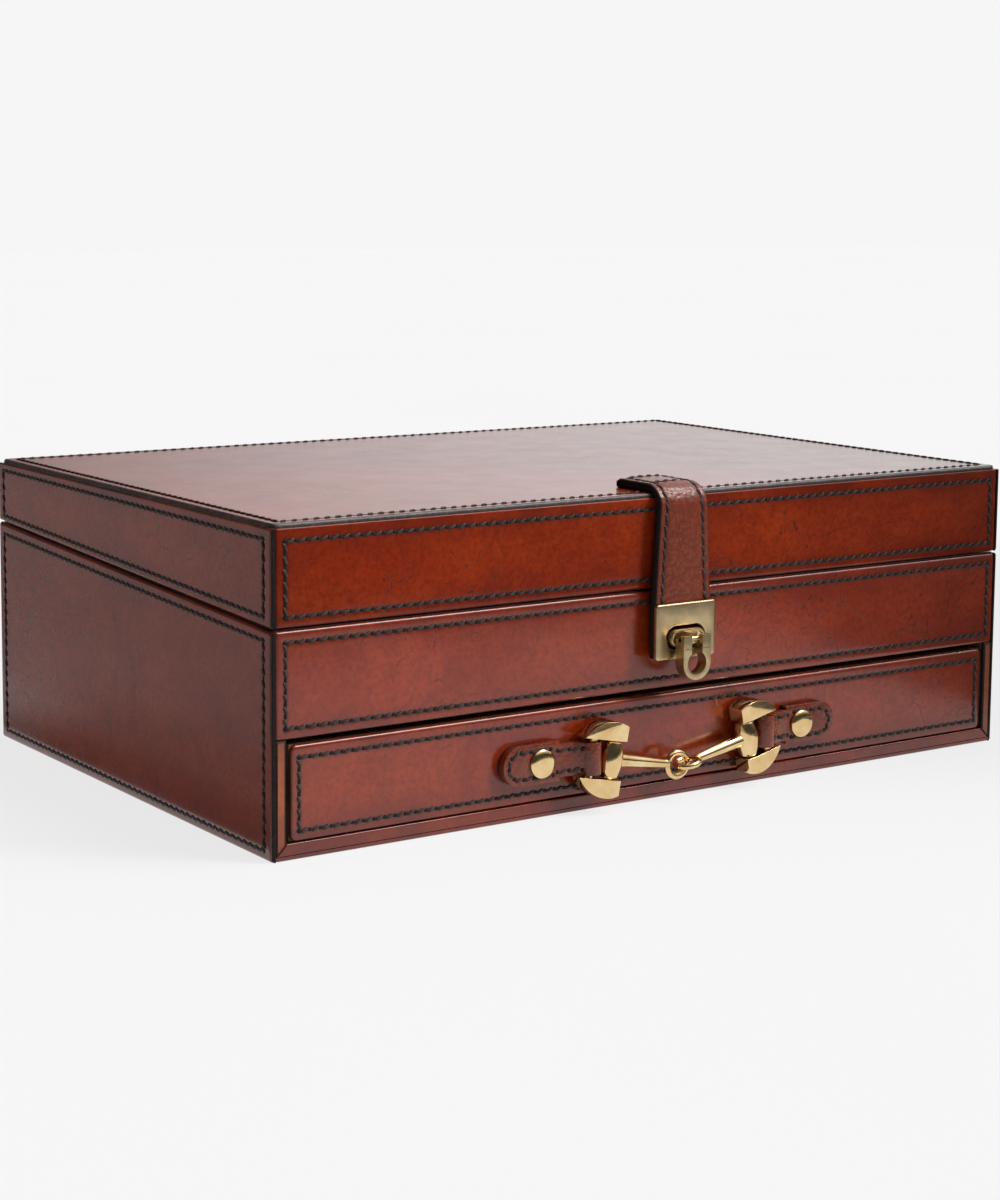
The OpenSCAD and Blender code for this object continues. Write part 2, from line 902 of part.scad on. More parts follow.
module left_pull_tab() {
  color("saddlebrown") mirror_x(-1) pull_tab();
}

module right_pull_tab() {
  color("saddlebrown") pull_tab();
}

module pull_rivets() {
  cap_r = (pow(rivet_head_r, 2) + pow(rivet_head_h, 2)) / (2 * rivet_head_h);
  head_y = -half_d - tab_t;
  color("gold")
    for (side = [-1, 1]) {
      rod_y(side * rivet_x, pull_z, head_y, drawer_front_y + washer_t, rivet_r);
      intersection() {
        translate([side * rivet_x, head_y + cap_r - rivet_head_h, pull_z])
          sphere(r = cap_r, $fn = round_fn);
        translate([side * rivet_x - rivet_head_r, head_y - rivet_head_h, pull_z - rivet_head_r])
          cube([2 * rivet_head_r, rivet_head_h, 2 * rivet_head_r]);
      }
    }
}

module rivet_washers() {
  color("gold")
    for (side = [-1, 1])
      difference() {
        rod_y(side * rivet_x, pull_z, drawer_front_y, drawer_front_y + washer_t, washer_r);
        rod_y(side * rivet_x, pull_z, drawer_front_y - 1, drawer_front_y + washer_t + 1,
              rivet_r + fit_clear);
      }
}

// D shaped cheek: two wedge horns joined by the shank and the hidden swing bar
module cheek() {
  bar_len = 2 * cheek_open + 2;
  front_x = -shank_off - cheek_front_u;
  centre_x = -shank_off + cheek_centre_u;
  ridge_x = -shank_off + cheek_ridge_u;
  tip_x = centre_x + cheek_r;
  for (x = [0, -shank_off])
    translate([x, 0, 0])
      cylinder(h = bar_len, r = shank_r, center = true, $fn = fine_fn);
  intersection() {
    translate([centre_x, 0, 0])
      rotate([90, 0, 0])
        cylinder(h = 4 * cheek_half_t, r = cheek_r, center = true, $fn = 2 * round_fn);
    translate([0, 0, -cheek_r - 1])
      linear_extrude(2 * cheek_r + 2)
        polygon([[front_x, -cheek_half_t], [ridge_x, -cheek_half_t - 0.2],
                 [tip_x, -cheek_tip_half_t], [tip_x, cheek_tip_half_t],
                 [ridge_x, cheek_half_t + 0.2], [front_x, cheek_half_t]]);
    difference() {
      translate([front_x, -cheek_r, -2 * cheek_r]) cube([3 * cheek_r, 2 * cheek_r, 4 * cheek_r]);
      translate([-2 * cheek_r, -2 * cheek_r, -cheek_open])
        cube([6 * cheek_r, 4 * cheek_r, 2 * cheek_open]);
    }
  }
}

module left_cheek() {
  color("gold") bit_place(-1) cheek();
}

module right_cheek() {
  color("gold") bit_place(1) cheek();
}

// Radius of the barrel at a height, a smooth bulge between its ends
function barrel_at(t) = barrel_end_r + (barrel_r - barrel_end_r) * cos(90 * t);

// Barrel on the shank, tapered cannon and wire eye
module arm(flat_eye) {
  steps = 6;
  half_len = barrel_len / 2;
  side_points = [for (i = [-steps : steps]) [barrel_at(i / steps), half_len * i / steps]];
  translate([-shank_off, 0, 0])
    rotate([0, 0, arm_slope]) {
      difference() {
        union() {
          rotate_extrude($fn = round_fn)
            polygon(concat([[0, -half_len]], side_points, [[0, half_len]]));
          translate([-barrel_r + 1, 0, 0])
            rotate([0, -90, 0])
              cylinder(h = arm_len - eye_r - barrel_r + 1, r1 = cannon_r, r2 = cannon_tip_r,
                       $fn = fine_fn);
        }
        cylinder(h = 2 * barrel_len, r = shank_r + turn_clear, center = true, $fn = fine_fn);
      }
      translate([-arm_len, 0, 0])
        rotate([flat_eye ? 0 : 90, 0, 0])
          rotate_extrude($fn = round_fn)
            translate([eye_r, 0]) circle(r = eye_wire_r, $fn = fine_fn);
    }
}

module left_arm() {
  color("gold") bit_place(-1) arm(false);
}

module right_arm() {
  color("gold") bit_place(1) arm(true);
}

floor_board();
left_wall_board();
right_wall_board();
back_wall_board();
front_band_board();
shelf_board();
base_leather();
left_side_leather();
right_side_leather();
back_leather();
front_band_leather();
left_post_leather();
right_post_leather();
bottom_rail_leather();
tray_floor_lining();
tray_wall_lining();
tray_long_divider();
tray_cross_dividers();
ring_rolls();
drawer_glides();
lock_base();
lock_screws();
bail_pin();
hinge_lower_leaves();
hinge_lower_screws();
hinge_pins();
lid_board();
lid_front_board();
lid_back_board();
lid_left_board();
lid_right_board();
lid_top_leather();
lid_front_leather();
lid_back_leather();
lid_left_leather();
lid_right_leather();
lid_wall_lining();
lid_pad();
hinge_upper_leaves();
hinge_upper_screws();
strap_root();
strap_tongue();
eyelet_plate();
bail();
drawer_front_board();
drawer_front_leather();
drawer_left_side();
drawer_right_side();
drawer_back();
drawer_bottom();
drawer_lining();
drawer_dividers();
left_pull_tab();
right_pull_tab();
pull_rivets();
rivet_washers();
left_cheek();
right_cheek();
left_arm();
right_arm();
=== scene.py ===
"""Leather jewellery case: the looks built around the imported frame. Lengths in the code are
millimetres unless a name says otherwise, and mesh helpers turn them into metres."""
import json
import random
from contextlib import contextmanager
from math import acos, copysign, cos, degrees, exp, hypot, pi, radians, sin, sqrt

import bpy
import bmesh
from mathutils import Matrix, Vector
from mathutils.bvhtree import BVHTree

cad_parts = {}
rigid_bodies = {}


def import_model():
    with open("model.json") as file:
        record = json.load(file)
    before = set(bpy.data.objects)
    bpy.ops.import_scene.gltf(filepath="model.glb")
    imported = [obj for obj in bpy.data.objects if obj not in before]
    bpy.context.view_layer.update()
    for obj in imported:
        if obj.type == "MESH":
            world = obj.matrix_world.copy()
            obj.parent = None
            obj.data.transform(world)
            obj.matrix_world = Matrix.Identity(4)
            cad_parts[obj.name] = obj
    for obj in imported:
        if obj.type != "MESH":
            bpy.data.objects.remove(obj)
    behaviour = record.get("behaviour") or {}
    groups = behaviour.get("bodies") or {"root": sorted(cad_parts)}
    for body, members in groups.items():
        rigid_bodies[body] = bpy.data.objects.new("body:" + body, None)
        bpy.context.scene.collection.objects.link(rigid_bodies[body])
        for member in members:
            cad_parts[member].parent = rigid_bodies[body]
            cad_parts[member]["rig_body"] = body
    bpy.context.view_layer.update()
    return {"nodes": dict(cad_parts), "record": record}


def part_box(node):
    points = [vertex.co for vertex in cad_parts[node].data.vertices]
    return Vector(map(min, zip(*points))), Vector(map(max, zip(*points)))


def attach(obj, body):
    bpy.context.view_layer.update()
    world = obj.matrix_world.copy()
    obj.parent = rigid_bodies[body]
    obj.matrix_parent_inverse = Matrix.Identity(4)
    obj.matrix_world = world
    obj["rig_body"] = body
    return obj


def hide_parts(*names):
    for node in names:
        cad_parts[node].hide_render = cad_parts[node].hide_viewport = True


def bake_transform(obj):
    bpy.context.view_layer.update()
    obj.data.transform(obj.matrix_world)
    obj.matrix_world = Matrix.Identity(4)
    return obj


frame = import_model()

MM = 0.001
PHOTO_W = 1000
PHOTO_H = 1200
random.seed(11)


# ------------------------------------------------------------------ frame sizes
def low(node):
    return [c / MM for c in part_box(node)[0]]


def high(node):
    return [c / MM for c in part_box(node)[1]]


def span(node):
    return low(node), high(node)


def middle(node, axis):
    return (low(node)[axis] + high(node)[axis]) / 2


def edge_z(node, y, top):
    """Highest or lowest z, in mm, of a node's corners at the depth y."""
    zs = [v.co.z / MM for v in frame["nodes"][node].data.vertices if abs(v.co.y / MM - y) < 0.01]
    return max(zs) if top else min(zs)


HALF_W, HALF_D = high("right_side_leather")[:2]
SKIN = HALF_W - low("right_side_leather")[0]
SKIN_X = HALF_W - SKIN
TOP_Z = high("lid_top_leather")[2]
SKIN_TOP = low("lid_top_leather")[2]
BODY_FRONT = edge_z("left_side_leather", -HALF_D, True)
BODY_BACK = edge_z("left_side_leather", HALF_D, True)
LID_FRONT = edge_z("lid_left_leather", -HALF_D, False)
LID_BACK = edge_z("lid_left_leather", HALF_D, False)
BAND_Z = low("front_band_leather")[2]
IN_X, IN_Y, FLOOR_TOP = high("floor_board")
TOP_INSET = HALF_W - high("lid_top_leather")[0]


# ------------------------------------------------------------------ mesh helpers
def linked(name, data):
    """A new object in the scene."""
    obj = bpy.data.objects.new(name, data)
    bpy.context.scene.collection.objects.link(obj)
    return obj


def new_object(name, verts, faces, mats, face_mats=None, smooth=True):
    mesh = bpy.data.meshes.new(name)
    mesh.from_pydata([tuple(c * MM for c in v) for v in verts], [], faces)
    mesh.update()
    obj = linked(name, mesh)
    for m in mats:
        mesh.materials.append(m)
    if face_mats:
        mesh.polygons.foreach_set("material_index", face_mats)
    mesh.polygons.foreach_set("use_smooth", [smooth] * len(mesh.polygons))
    return obj


def grid_faces(rows, ring, closed=True):
    """Quads between rows of points. Closed rows run round, open ones have two ends."""
    ends = ring if closed else ring - 1
    return [(r * ring + i, r * ring + (i + 1) % ring, (r + 1) * ring + (i + 1) % ring,
             (r + 1) * ring + i) for r in range(rows - 1) for i in range(ends)]


def end_caps(rows, ring):
    """The two faces that close the ends of a tube of rows."""
    return [tuple(reversed(range(ring))), tuple((rows - 1) * ring + i for i in range(ring))]


def border_loop(cols, rows):
    """Numbers of the points round the edge of an open grid."""
    return ([*range(cols)] + [r * cols + cols - 1 for r in range(1, rows)]
            + [(rows - 1) * cols + c for c in range(cols - 2, -1, -1)]
            + [r * cols for r in range(rows - 2, 0, -1)])


def paint(obj, **attributes):
    """Adds a value at each point for the materials to read."""
    for name, values in attributes.items():
        obj.data.attributes.new(name, "FLOAT", "POINT").data.foreach_set("value", values)


def blackened(faces, rims, level):
    """Second material for the faces whose points are nearly all burnished."""
    return [int(sum(rims[i] for i in f) > level * len(f)) for f in faces]


@contextmanager
def edited(mesh):
    """A bmesh that is written back to its mesh at the end."""
    bm = bmesh.new()
    bm.from_mesh(mesh)
    yield bm
    bm.to_mesh(mesh)
    bm.free()


def fix_normals(obj):
    with edited(obj.data) as bm:
        bmesh.ops.recalc_face_normals(bm, faces=bm.faces)


def bake(obj):
    """Replaces the object's mesh by what its modifiers make of it."""
    graph = bpy.context.evaluated_depsgraph_get()
    mesh = bpy.data.meshes.new_from_object(obj.evaluated_get(graph))
    obj.modifiers.clear()
    obj.data = mesh


def soften(obj, width, segments=3, angle=35.0):
    """Rounds the sharp edges by width and keeps the flats flat."""
    bevel = obj.modifiers.new("bevel", "BEVEL")
    bevel.width = width * MM
    bevel.segments = segments
    bevel.limit_method = "ANGLE"
    bevel.angle_limit = radians(angle)
    bevel.harden_normals = False
    bpy.context.view_layer.update()
    bake(obj)
    obj.data.polygons.foreach_set("use_smooth", [True] * len(obj.data.polygons))
    mark_sharp(obj)
    return obj


def mark_sharp(obj, angle=50.0):
    """Keeps real edges crisp on a smooth shaded mesh."""
    limit = radians(angle)
    with edited(obj.data) as bm:
        for e in bm.edges:
            e.smooth = len(e.link_faces) != 2 or e.calc_face_angle(0.0) < limit


def solid(name, verts, faces, mats=(), sharp=None):
    """A closed piece with its faces turned outwards, crisp at edges above the sharp angle."""
    obj = new_object(name, verts, faces, mats)
    fix_normals(obj)
    if sharp:
        mark_sharp(obj, sharp)
    return obj


def join(name, parts):
    """One object from several, keeping their materials and attributes."""
    bpy.ops.object.select_all(action="DESELECT")
    for p in parts:
        p.select_set(True)
    bpy.context.view_layer.objects.active = parts[0]
    bpy.ops.object.join()
    parts[0].name = name
    parts[0].data.name = name
    return parts[0]


def place(obj, body, slot, *nodes):
    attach(obj, body)
    if nodes:
        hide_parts(*nodes)
    return obj


def circle(steps):
    """Angle, cosine and sine of each of the even steps round a circle."""
    angles = [2 * pi * i / steps for i in range(steps)]
    return [(a, cos(a), sin(a)) for a in angles]


def spread(count):
    """Even steps from -1 to 1."""
    return [-1 + 2 * i / (count - 1) for i in range(count)]


def lathe(profile, steps):
    """Closed surface from (radius, height) points turned about Z. End points lie on the axis."""
    verts = [(0, 0, profile[0][1])]
    for r, z in profile[1:-1]:
        verts += [(r * c, r * s, z) for _, c, s in circle(steps)]
    verts.append((0, 0, profile[-1][1]))
    rows = len(profile) - 2
    last = len(verts) - 1
    top = 1 + (rows - 1) * steps
    faces = [tuple(1 + i for i in face) for face in grid_faces(rows, steps)]
    for i in range(steps):
        j = (i + 1) % steps
        faces += [(0, 1 + j, 1 + i), (top + i, top + j, last)]
    return verts, faces


def torus(ring_r, wire_r, steps, sides):
    """Ring about Z."""
    verts = []
    for _, ring_c, ring_s in circle(steps):
        for _, wire_c, wire_s in circle(sides):
            r = ring_r + wire_r * wire_c
            verts.append((r * ring_c, r * ring_s, wire_r * wire_s))
    count = len(verts)
    return verts, [tuple(i % count for i in face) for face in grid_faces(steps + 1, sides)]


def moved(verts, matrix):
    return [tuple(matrix @ Vector(v)) for v in verts]


def turned(angle, axis):
    return Matrix.Rotation(radians(angle), 4, axis)


def gather(shape, verts, faces):
    """Adds a shape's points and faces to a pair of lists."""
    base = len(shape[0])
    shape[0].extend(tuple(v) for v in verts)
    shape[1].extend(tuple(base + i for i in face) for face in faces)


def prism(outline, depth0, depth1, turn):
    """Closed prism over a flat outline. turn puts (u, v, depth) in the frame."""
    n = len(outline)
    verts = [turn(u, v, depth0) for u, v in outline] + [turn(u, v, depth1) for u, v in outline]
    faces = [tuple(range(n)), tuple(range(2 * n - 1, n - 1, -1))]
    faces += [(i, n + i, n + (i + 1) % n, (i + 1) % n) for i in range(n)]
    return verts, faces


def front_turn(u, v, out):
    """Flat shapes on the front of the case: u to the right, v up, out towards the viewer."""
    return (u, -HALF_D - out, v)


def arc(cx, cy, r, a0, a1, steps):
    angles = [radians(a0 + (a1 - a0) * i / steps) for i in range(steps + 1)]
    return [(cx + r * cos(a), cy + r * sin(a)) for a in angles]


# ------------------------------------------------------------------ materials
# The Mix node's first input and its output, by the kind of data it mixes
MIX_SOCKETS = {"RGBA": (6, 2), "FLOAT": (2, 0)}


class Nodes:
    """Short hand for the node tree of a new material, or of a world."""

    def __init__(self, name, world=None):
        self.material = world or bpy.data.materials.new(name)
        self.material.use_nodes = True
        self.tree = self.material.node_tree
        self.shader = self.tree.nodes["Background" if world else "Principled BSDF"]
        coords = self.add("ShaderNodeTexCoord")
        self.place = coords.outputs["Generated" if world else "Object"]

    def add(self, kind, inputs=None, **settings):
        node = self.tree.nodes.new(kind)
        for key, value in settings.items():
            setattr(node, key, value)
        for key, value in (inputs or {}).items():
            self.feed(node.inputs[key], value)
        return node

    def feed(self, socket, value):
        """Sets a number, a vector or a colour on a socket, or links another node to it."""
        if isinstance(value, bpy.types.NodeSocket):
            self.tree.links.new(value, socket)
        elif isinstance(value, tuple) and socket.type == "RGBA":
            socket.default_value = (*value, 1.0)
        else:
            socket.default_value = value

    def noise(self, scale, detail=4.0, rough=0.55, distortion=0.0, place=None):
        inputs = {"Scale": scale, "Detail": detail, "Roughness": rough, "Distortion": distortion,
                  "Vector": place or self.place}
        return self.add("ShaderNodeTexNoise", inputs).outputs["Fac"]

    def voronoi(self, scale):
        inputs = {"Scale": scale, "Vector": self.place}
        return self.add("ShaderNodeTexVoronoi", inputs).outputs["Distance"]

    def stretch(self, x, y, z):
        inputs = {"Scale": (x, y, z), "Vector": self.place}
        return self.add("ShaderNodeMapping", inputs).outputs["Vector"]

    def ramp(self, value, low_in, high_in, low_out=0.0, high_out=1.0):
        inputs = {"From Min": low_in, "From Max": high_in, "To Min": low_out, "To Max": high_out,
                  "Value": value}
        return self.add("ShaderNodeMapRange", inputs).outputs["Result"]

    def math(self, operation, a, b):
        return self.add("ShaderNodeMath", {0: a, 1: b}, operation=operation).outputs[0]

    def mix(self, factor, a, b, kind="RGBA"):
        first, out = MIX_SOCKETS[kind]
        inputs = {0: factor, first: a, first + 1: b}
        return self.add("ShaderNodeMix", inputs, data_type=kind).outputs[out]

    def attribute(self, name):
        return self.add("ShaderNodeAttribute", attribute_name=name).outputs["Fac"]

    def bump(self, height, strength, distance_mm, normal=None):
        inputs = {"Strength": strength, "Distance": distance_mm * MM, "Height": height}
        if normal is not None:
            inputs["Normal"] = normal
        return self.add("ShaderNodeBump", inputs).outputs["Normal"]

    def set(self, **values):
        for key, value in values.items():
            self.feed(self.shader.inputs[key.replace("_", " ")], value)
        return self.material


def glazed_leather(name, deep, light, patch, gloss, shine=0.5, coat=0.22):
    """Hand stained, glazed hide: mottled stain, faint creases and specks, burnished rims, part
    painted shade at grooves and borders.
    """
    n = Nodes(name)
    clouds = n.ramp(n.noise(14, 5, 0.6, 0.6), 0.32, 0.70)
    streaks = n.ramp(n.noise(22, 6, 0.65, 0.3, n.stretch(0.35, 0.6, 1.6)), 0.35, 0.72)
    fine = n.noise(160, 5, 0.7)
    colour = n.mix(clouds, deep, light)
    colour = n.mix(n.math("MULTIPLY", streaks, 0.7), colour, patch)
    blotch = n.ramp(n.noise(32, 6, 0.72, 0.9), 0.50, 0.70, 0.0, 0.70)
    colour = n.mix(blotch, colour, deep)
    # Darker in uneven patches towards each panel's borders: partly stain, partly painted shade of
    # the panel ends.
    uneven = n.ramp(n.noise(24, 5, 0.62, 0.8), 0.36, 0.66, 0.10, 0.80)
    border = n.math("MULTIPLY", n.attribute("border"), uneven)
    colour = n.mix(border, colour, tuple(c * 0.42 for c in deep))
    colour = n.mix(n.ramp(fine, 0.3, 0.75, 0.0, 0.45), colour, deep)
    speckle = n.ramp(n.noise(620, 3, 0.6), 0.42, 0.68, 0.0, 0.38)
    colour = n.mix(speckle, colour, tuple(c * 0.45 for c in deep))
    crease_wave = n.noise(34, 3, 0.5, 1.4)
    crease = n.math("ABSOLUTE", n.math("SUBTRACT", crease_wave, 0.5), 0.0)
    crease = n.ramp(crease, 0.0, 0.006, 1.0, 0.0)
    crease = n.math("MULTIPLY", crease, n.ramp(n.noise(9, 2), 0.46, 0.58, 0.0, 0.80))
    speck = n.ramp(n.voronoi(115), 0.03, 0.085, 1.0, 0.0)
    speck = n.math("MULTIPLY", speck, n.ramp(n.noise(40, 1), 0.55, 0.62, 0.0, 0.75))
    marks = n.math("MAXIMUM", crease, speck)
    colour = n.mix(marks, colour, (0.030, 0.010, 0.007))
    # Darker along the stitch grooves: wax stain and painted shade in the grooves.
    wax_and_groove_shade = n.math("MULTIPLY", n.attribute("stitch"), n.ramp(fine, 0.25, 0.7, 0.55, 0.95))
    colour = n.mix(wax_and_groove_shade, colour, (0.024, 0.010, 0.008))
    rim_wave = n.math("ADD", n.attribute("rim"), n.ramp(n.noise(90, 3), 0.3, 0.7, -0.22, 0.22))
    rim = n.ramp(rim_wave, 0.42, 0.86)
    colour = n.mix(rim, colour, (0.014, 0.008, 0.007))
    rough = n.ramp(n.noise(55, 5, 0.6), 0.3, 0.7, gloss, gloss + 0.05)
    rough = n.math("ADD", rough, n.math("MULTIPLY", rim, 0.10))
    pores = n.voronoi(900)
    hide = n.noise(420, 4, 0.6)
    normal = n.bump(pores, 0.08, 0.2)
    normal = n.bump(hide, 0.12, 0.2, normal)
    normal = n.bump(n.noise(30, 3), 0.05, 0.3, normal)
    normal = n.bump(marks, 0.4, -0.12, normal)
    return n.set(Base_Color=colour, Roughness=rough, Normal=normal, Coat_Weight=coat,
                 Coat_Roughness=0.14, Specular_IOR_Level=shine)


def pebbled_leather(name):
    """Softer strap leather with a raised pebble grain."""
    n = Nodes(name)
    clouds = n.ramp(n.noise(45, 5, 0.6, 0.5), 0.3, 0.72)
    colour = n.mix(clouds, (0.130, 0.018, 0.006), (0.215, 0.034, 0.010))
    cells = n.voronoi(620)
    valley = n.ramp(cells, 0.25, 0.75, 0.0, 0.35)
    colour = n.mix(valley, colour, (0.024, 0.008, 0.006))
    rim = n.ramp(n.math("ADD", n.attribute("rim"), n.ramp(n.noise(120, 3), 0.3, 0.7, -0.2, 0.2)),
                 0.42, 0.85)
    # Darker along the stitch grooves: wax stain and painted shade in the grooves.
    colour = n.mix(n.math("MULTIPLY", n.attribute("stitch"), 0.8), colour, (0.020, 0.009, 0.007))
    colour = n.mix(rim, colour, (0.012, 0.007, 0.006))
    rough = n.ramp(n.noise(80, 4), 0.3, 0.7, 0.23, 0.33)
    normal = n.bump(cells, 0.42, -0.34)
    normal = n.bump(n.noise(900, 3), 0.25, 0.12, normal)
    return n.set(Base_Color=colour, Roughness=rough, Normal=normal, Specular_IOR_Level=0.56)


def burnished_edge(name, dark, pale, rough, shine):
    n = Nodes(name)
    wear = n.ramp(n.noise(600, 4, 0.7), 0.35, 0.7)
    return n.set(Base_Color=n.mix(wear, dark, pale), Roughness=rough, Specular_IOR_Level=shine,
                 Normal=n.bump(wear, 0.4, 0.15))


def waxed_thread():
    n = Nodes("waxed_thread")
    colour = n.mix(n.noise(700, 3), (0.020, 0.013, 0.011), (0.066, 0.046, 0.039))
    fibres = n.noise(2600, 3, 0.7)
    return n.set(Base_Color=colour, Roughness=n.ramp(fibres, 0.3, 0.7, 0.5, 0.7),
                 Normal=n.bump(fibres, 0.5, 0.12), Specular_IOR_Level=0.3)


def needle_hole_shade():
    n = Nodes("needle_hole_shade")
    # Near black: painted shade of the needle holes, whose depth is not modelled.
    colour = n.mix(n.noise(500), (0.004, 0.003, 0.003), (0.012, 0.007, 0.006))
    return n.set(Base_Color=colour, Roughness=0.9)


def polished_brass():
    n = Nodes("polished_brass")
    tone = n.mix(n.ramp(n.noise(130, 4), 0.35, 0.7), (0.72, 0.49, 0.22), (0.88, 0.67, 0.37))
    scuffs = n.noise(500, 4, 0.7, 0.2, n.stretch(0.4, 1.0, 1.6))
    rough = n.ramp(scuffs, 0.3, 0.75, 0.07, 0.19)
    normal = n.bump(n.noise(240, 3), 0.10, 0.12)
    normal = n.bump(scuffs, 0.05, 0.05, normal)
    return n.set(Base_Color=tone, Metallic=1.0, Roughness=rough, Normal=normal)


def satin_brass(name, bright, dull):
    """Brushed, slightly tarnished brass."""
    n = Nodes(name)
    brush = n.noise(520, 5, 0.7, 0.0, n.stretch(0.12, 1.0, 1.0))
    tarnish = n.ramp(n.noise(110, 5, 0.65), 0.38, 0.72)
    tone = n.mix(tarnish, bright, dull)
    tone = n.mix(n.ramp(brush, 0.35, 0.75, 0.0, 0.25), tone, dull)
    rough = n.ramp(brush, 0.3, 0.7, 0.26, 0.40)
    return n.set(Base_Color=tone, Metallic=1.0, Roughness=rough, Normal=n.bump(brush, 0.12, 0.08))


def suede():
    n = Nodes("tan_suede")
    nap = n.ramp(n.noise(38, 6, 0.7, 0.8), 0.3, 0.72)
    fibre = n.noise(1500, 4, 0.75)
    colour = n.mix(nap, (0.235, 0.140, 0.080), (0.375, 0.245, 0.150))
    colour = n.mix(n.ramp(fibre, 0.3, 0.7, 0.0, 0.35), colour, (0.160, 0.092, 0.052))
    normal = n.bump(fibre, 0.6, 0.25)
    return n.set(Base_Color=colour, Roughness=0.92, Normal=normal, Sheen_Weight=0.35,
                 Sheen_Roughness=0.5)


def stained_wood():
    n = Nodes("stained_wood")
    grain = n.noise(60, 8, 0.65, 1.2, n.stretch(0.08, 1.0, 1.0))
    colour = n.mix(n.ramp(grain, 0.35, 0.68), (0.075, 0.034, 0.018), (0.190, 0.095, 0.048))
    pores = n.noise(900, 3, 0.6, 0.0, n.stretch(0.05, 1.0, 1.0))
    return n.set(Base_Color=colour, Roughness=n.ramp(grain, 0.3, 0.7, 0.42, 0.58),
                 Normal=n.bump(pores, 0.25, 0.15))


def felt():
    n = Nodes("dark_felt")
    fibre = n.noise(1300, 4, 0.8)
    colour = n.mix(fibre, (0.020, 0.018, 0.016), (0.060, 0.052, 0.046))
    return n.set(Base_Color=colour, Roughness=0.95, Normal=n.bump(fibre, 0.6, 0.2))


LEATHER = glazed_leather("chestnut_leather", (0.150, 0.012, 0.003), (0.275, 0.026, 0.004),
                         (0.340, 0.046, 0.007), gloss=0.18, shine=0.58)
LID_LEATHER = glazed_leather("glazed_lid_front_leather", (0.138, 0.010, 0.002),
                             (0.255, 0.022, 0.003), (0.330, 0.042, 0.005), gloss=0.16, shine=0.24,
                             coat=0.08)
STRIP = glazed_leather("russet_strip_leather", (0.22, 0.040, 0.010), (0.37, 0.082, 0.022),
                       (0.46, 0.120, 0.032), gloss=0.36)
STRAP = pebbled_leather("pebbled_strap_leather")
THREAD = waxed_thread()
HOLE_SHADE = needle_hole_shade()
EDGE = burnished_edge("burnished_edge", (0.008, 0.005, 0.004), (0.020, 0.012, 0.010), 0.55, 0.2)
TOP_EDGE = burnished_edge("worn_top_edge", (0.016, 0.012, 0.011), (0.085, 0.070, 0.065), 0.38,
                          0.5)
BIT_BRASS = polished_brass()
LATCH_BRASS = satin_brass("antique_latch_brass", (0.67, 0.51, 0.285), (0.44, 0.33, 0.19))
# Near black brass for the lock's base plate: painted shade where its edge shows beside the strap.
BASE_PLATE_SHADE_BRASS = satin_brass("base_plate_shade_brass", (0.085, 0.062, 0.036), (0.030, 0.022, 0.014))
HINGE_BRASS = satin_brass("hinge_brass", (0.66, 0.48, 0.22), (0.42, 0.30, 0.14))
SUEDE = suede()
WOOD = stained_wood()
FELT = felt()


# ------------------------------------------------------------------ stitching
STITCH_PITCH = 4.0
STITCH_R = 0.50
STITCH_FILL = 0.84
STITCH_SLANT = 24
STITCH_RISE = 0.26
STITCH_DIVE = 0.42
PLY_DEPTH = 0.13
PLY_TWIST = 4.5
THREAD_FLATNESS = 0.62
THREAD_RINGS = 8
THREAD_SIDES = 8
HOLE_SIDES = 8
HOLE_ALONG = 0.92
HOLE_ACROSS = 0.84
HOLE_RIM_UP = 0.02
HOLE_MIDDLE_UP = 0.14


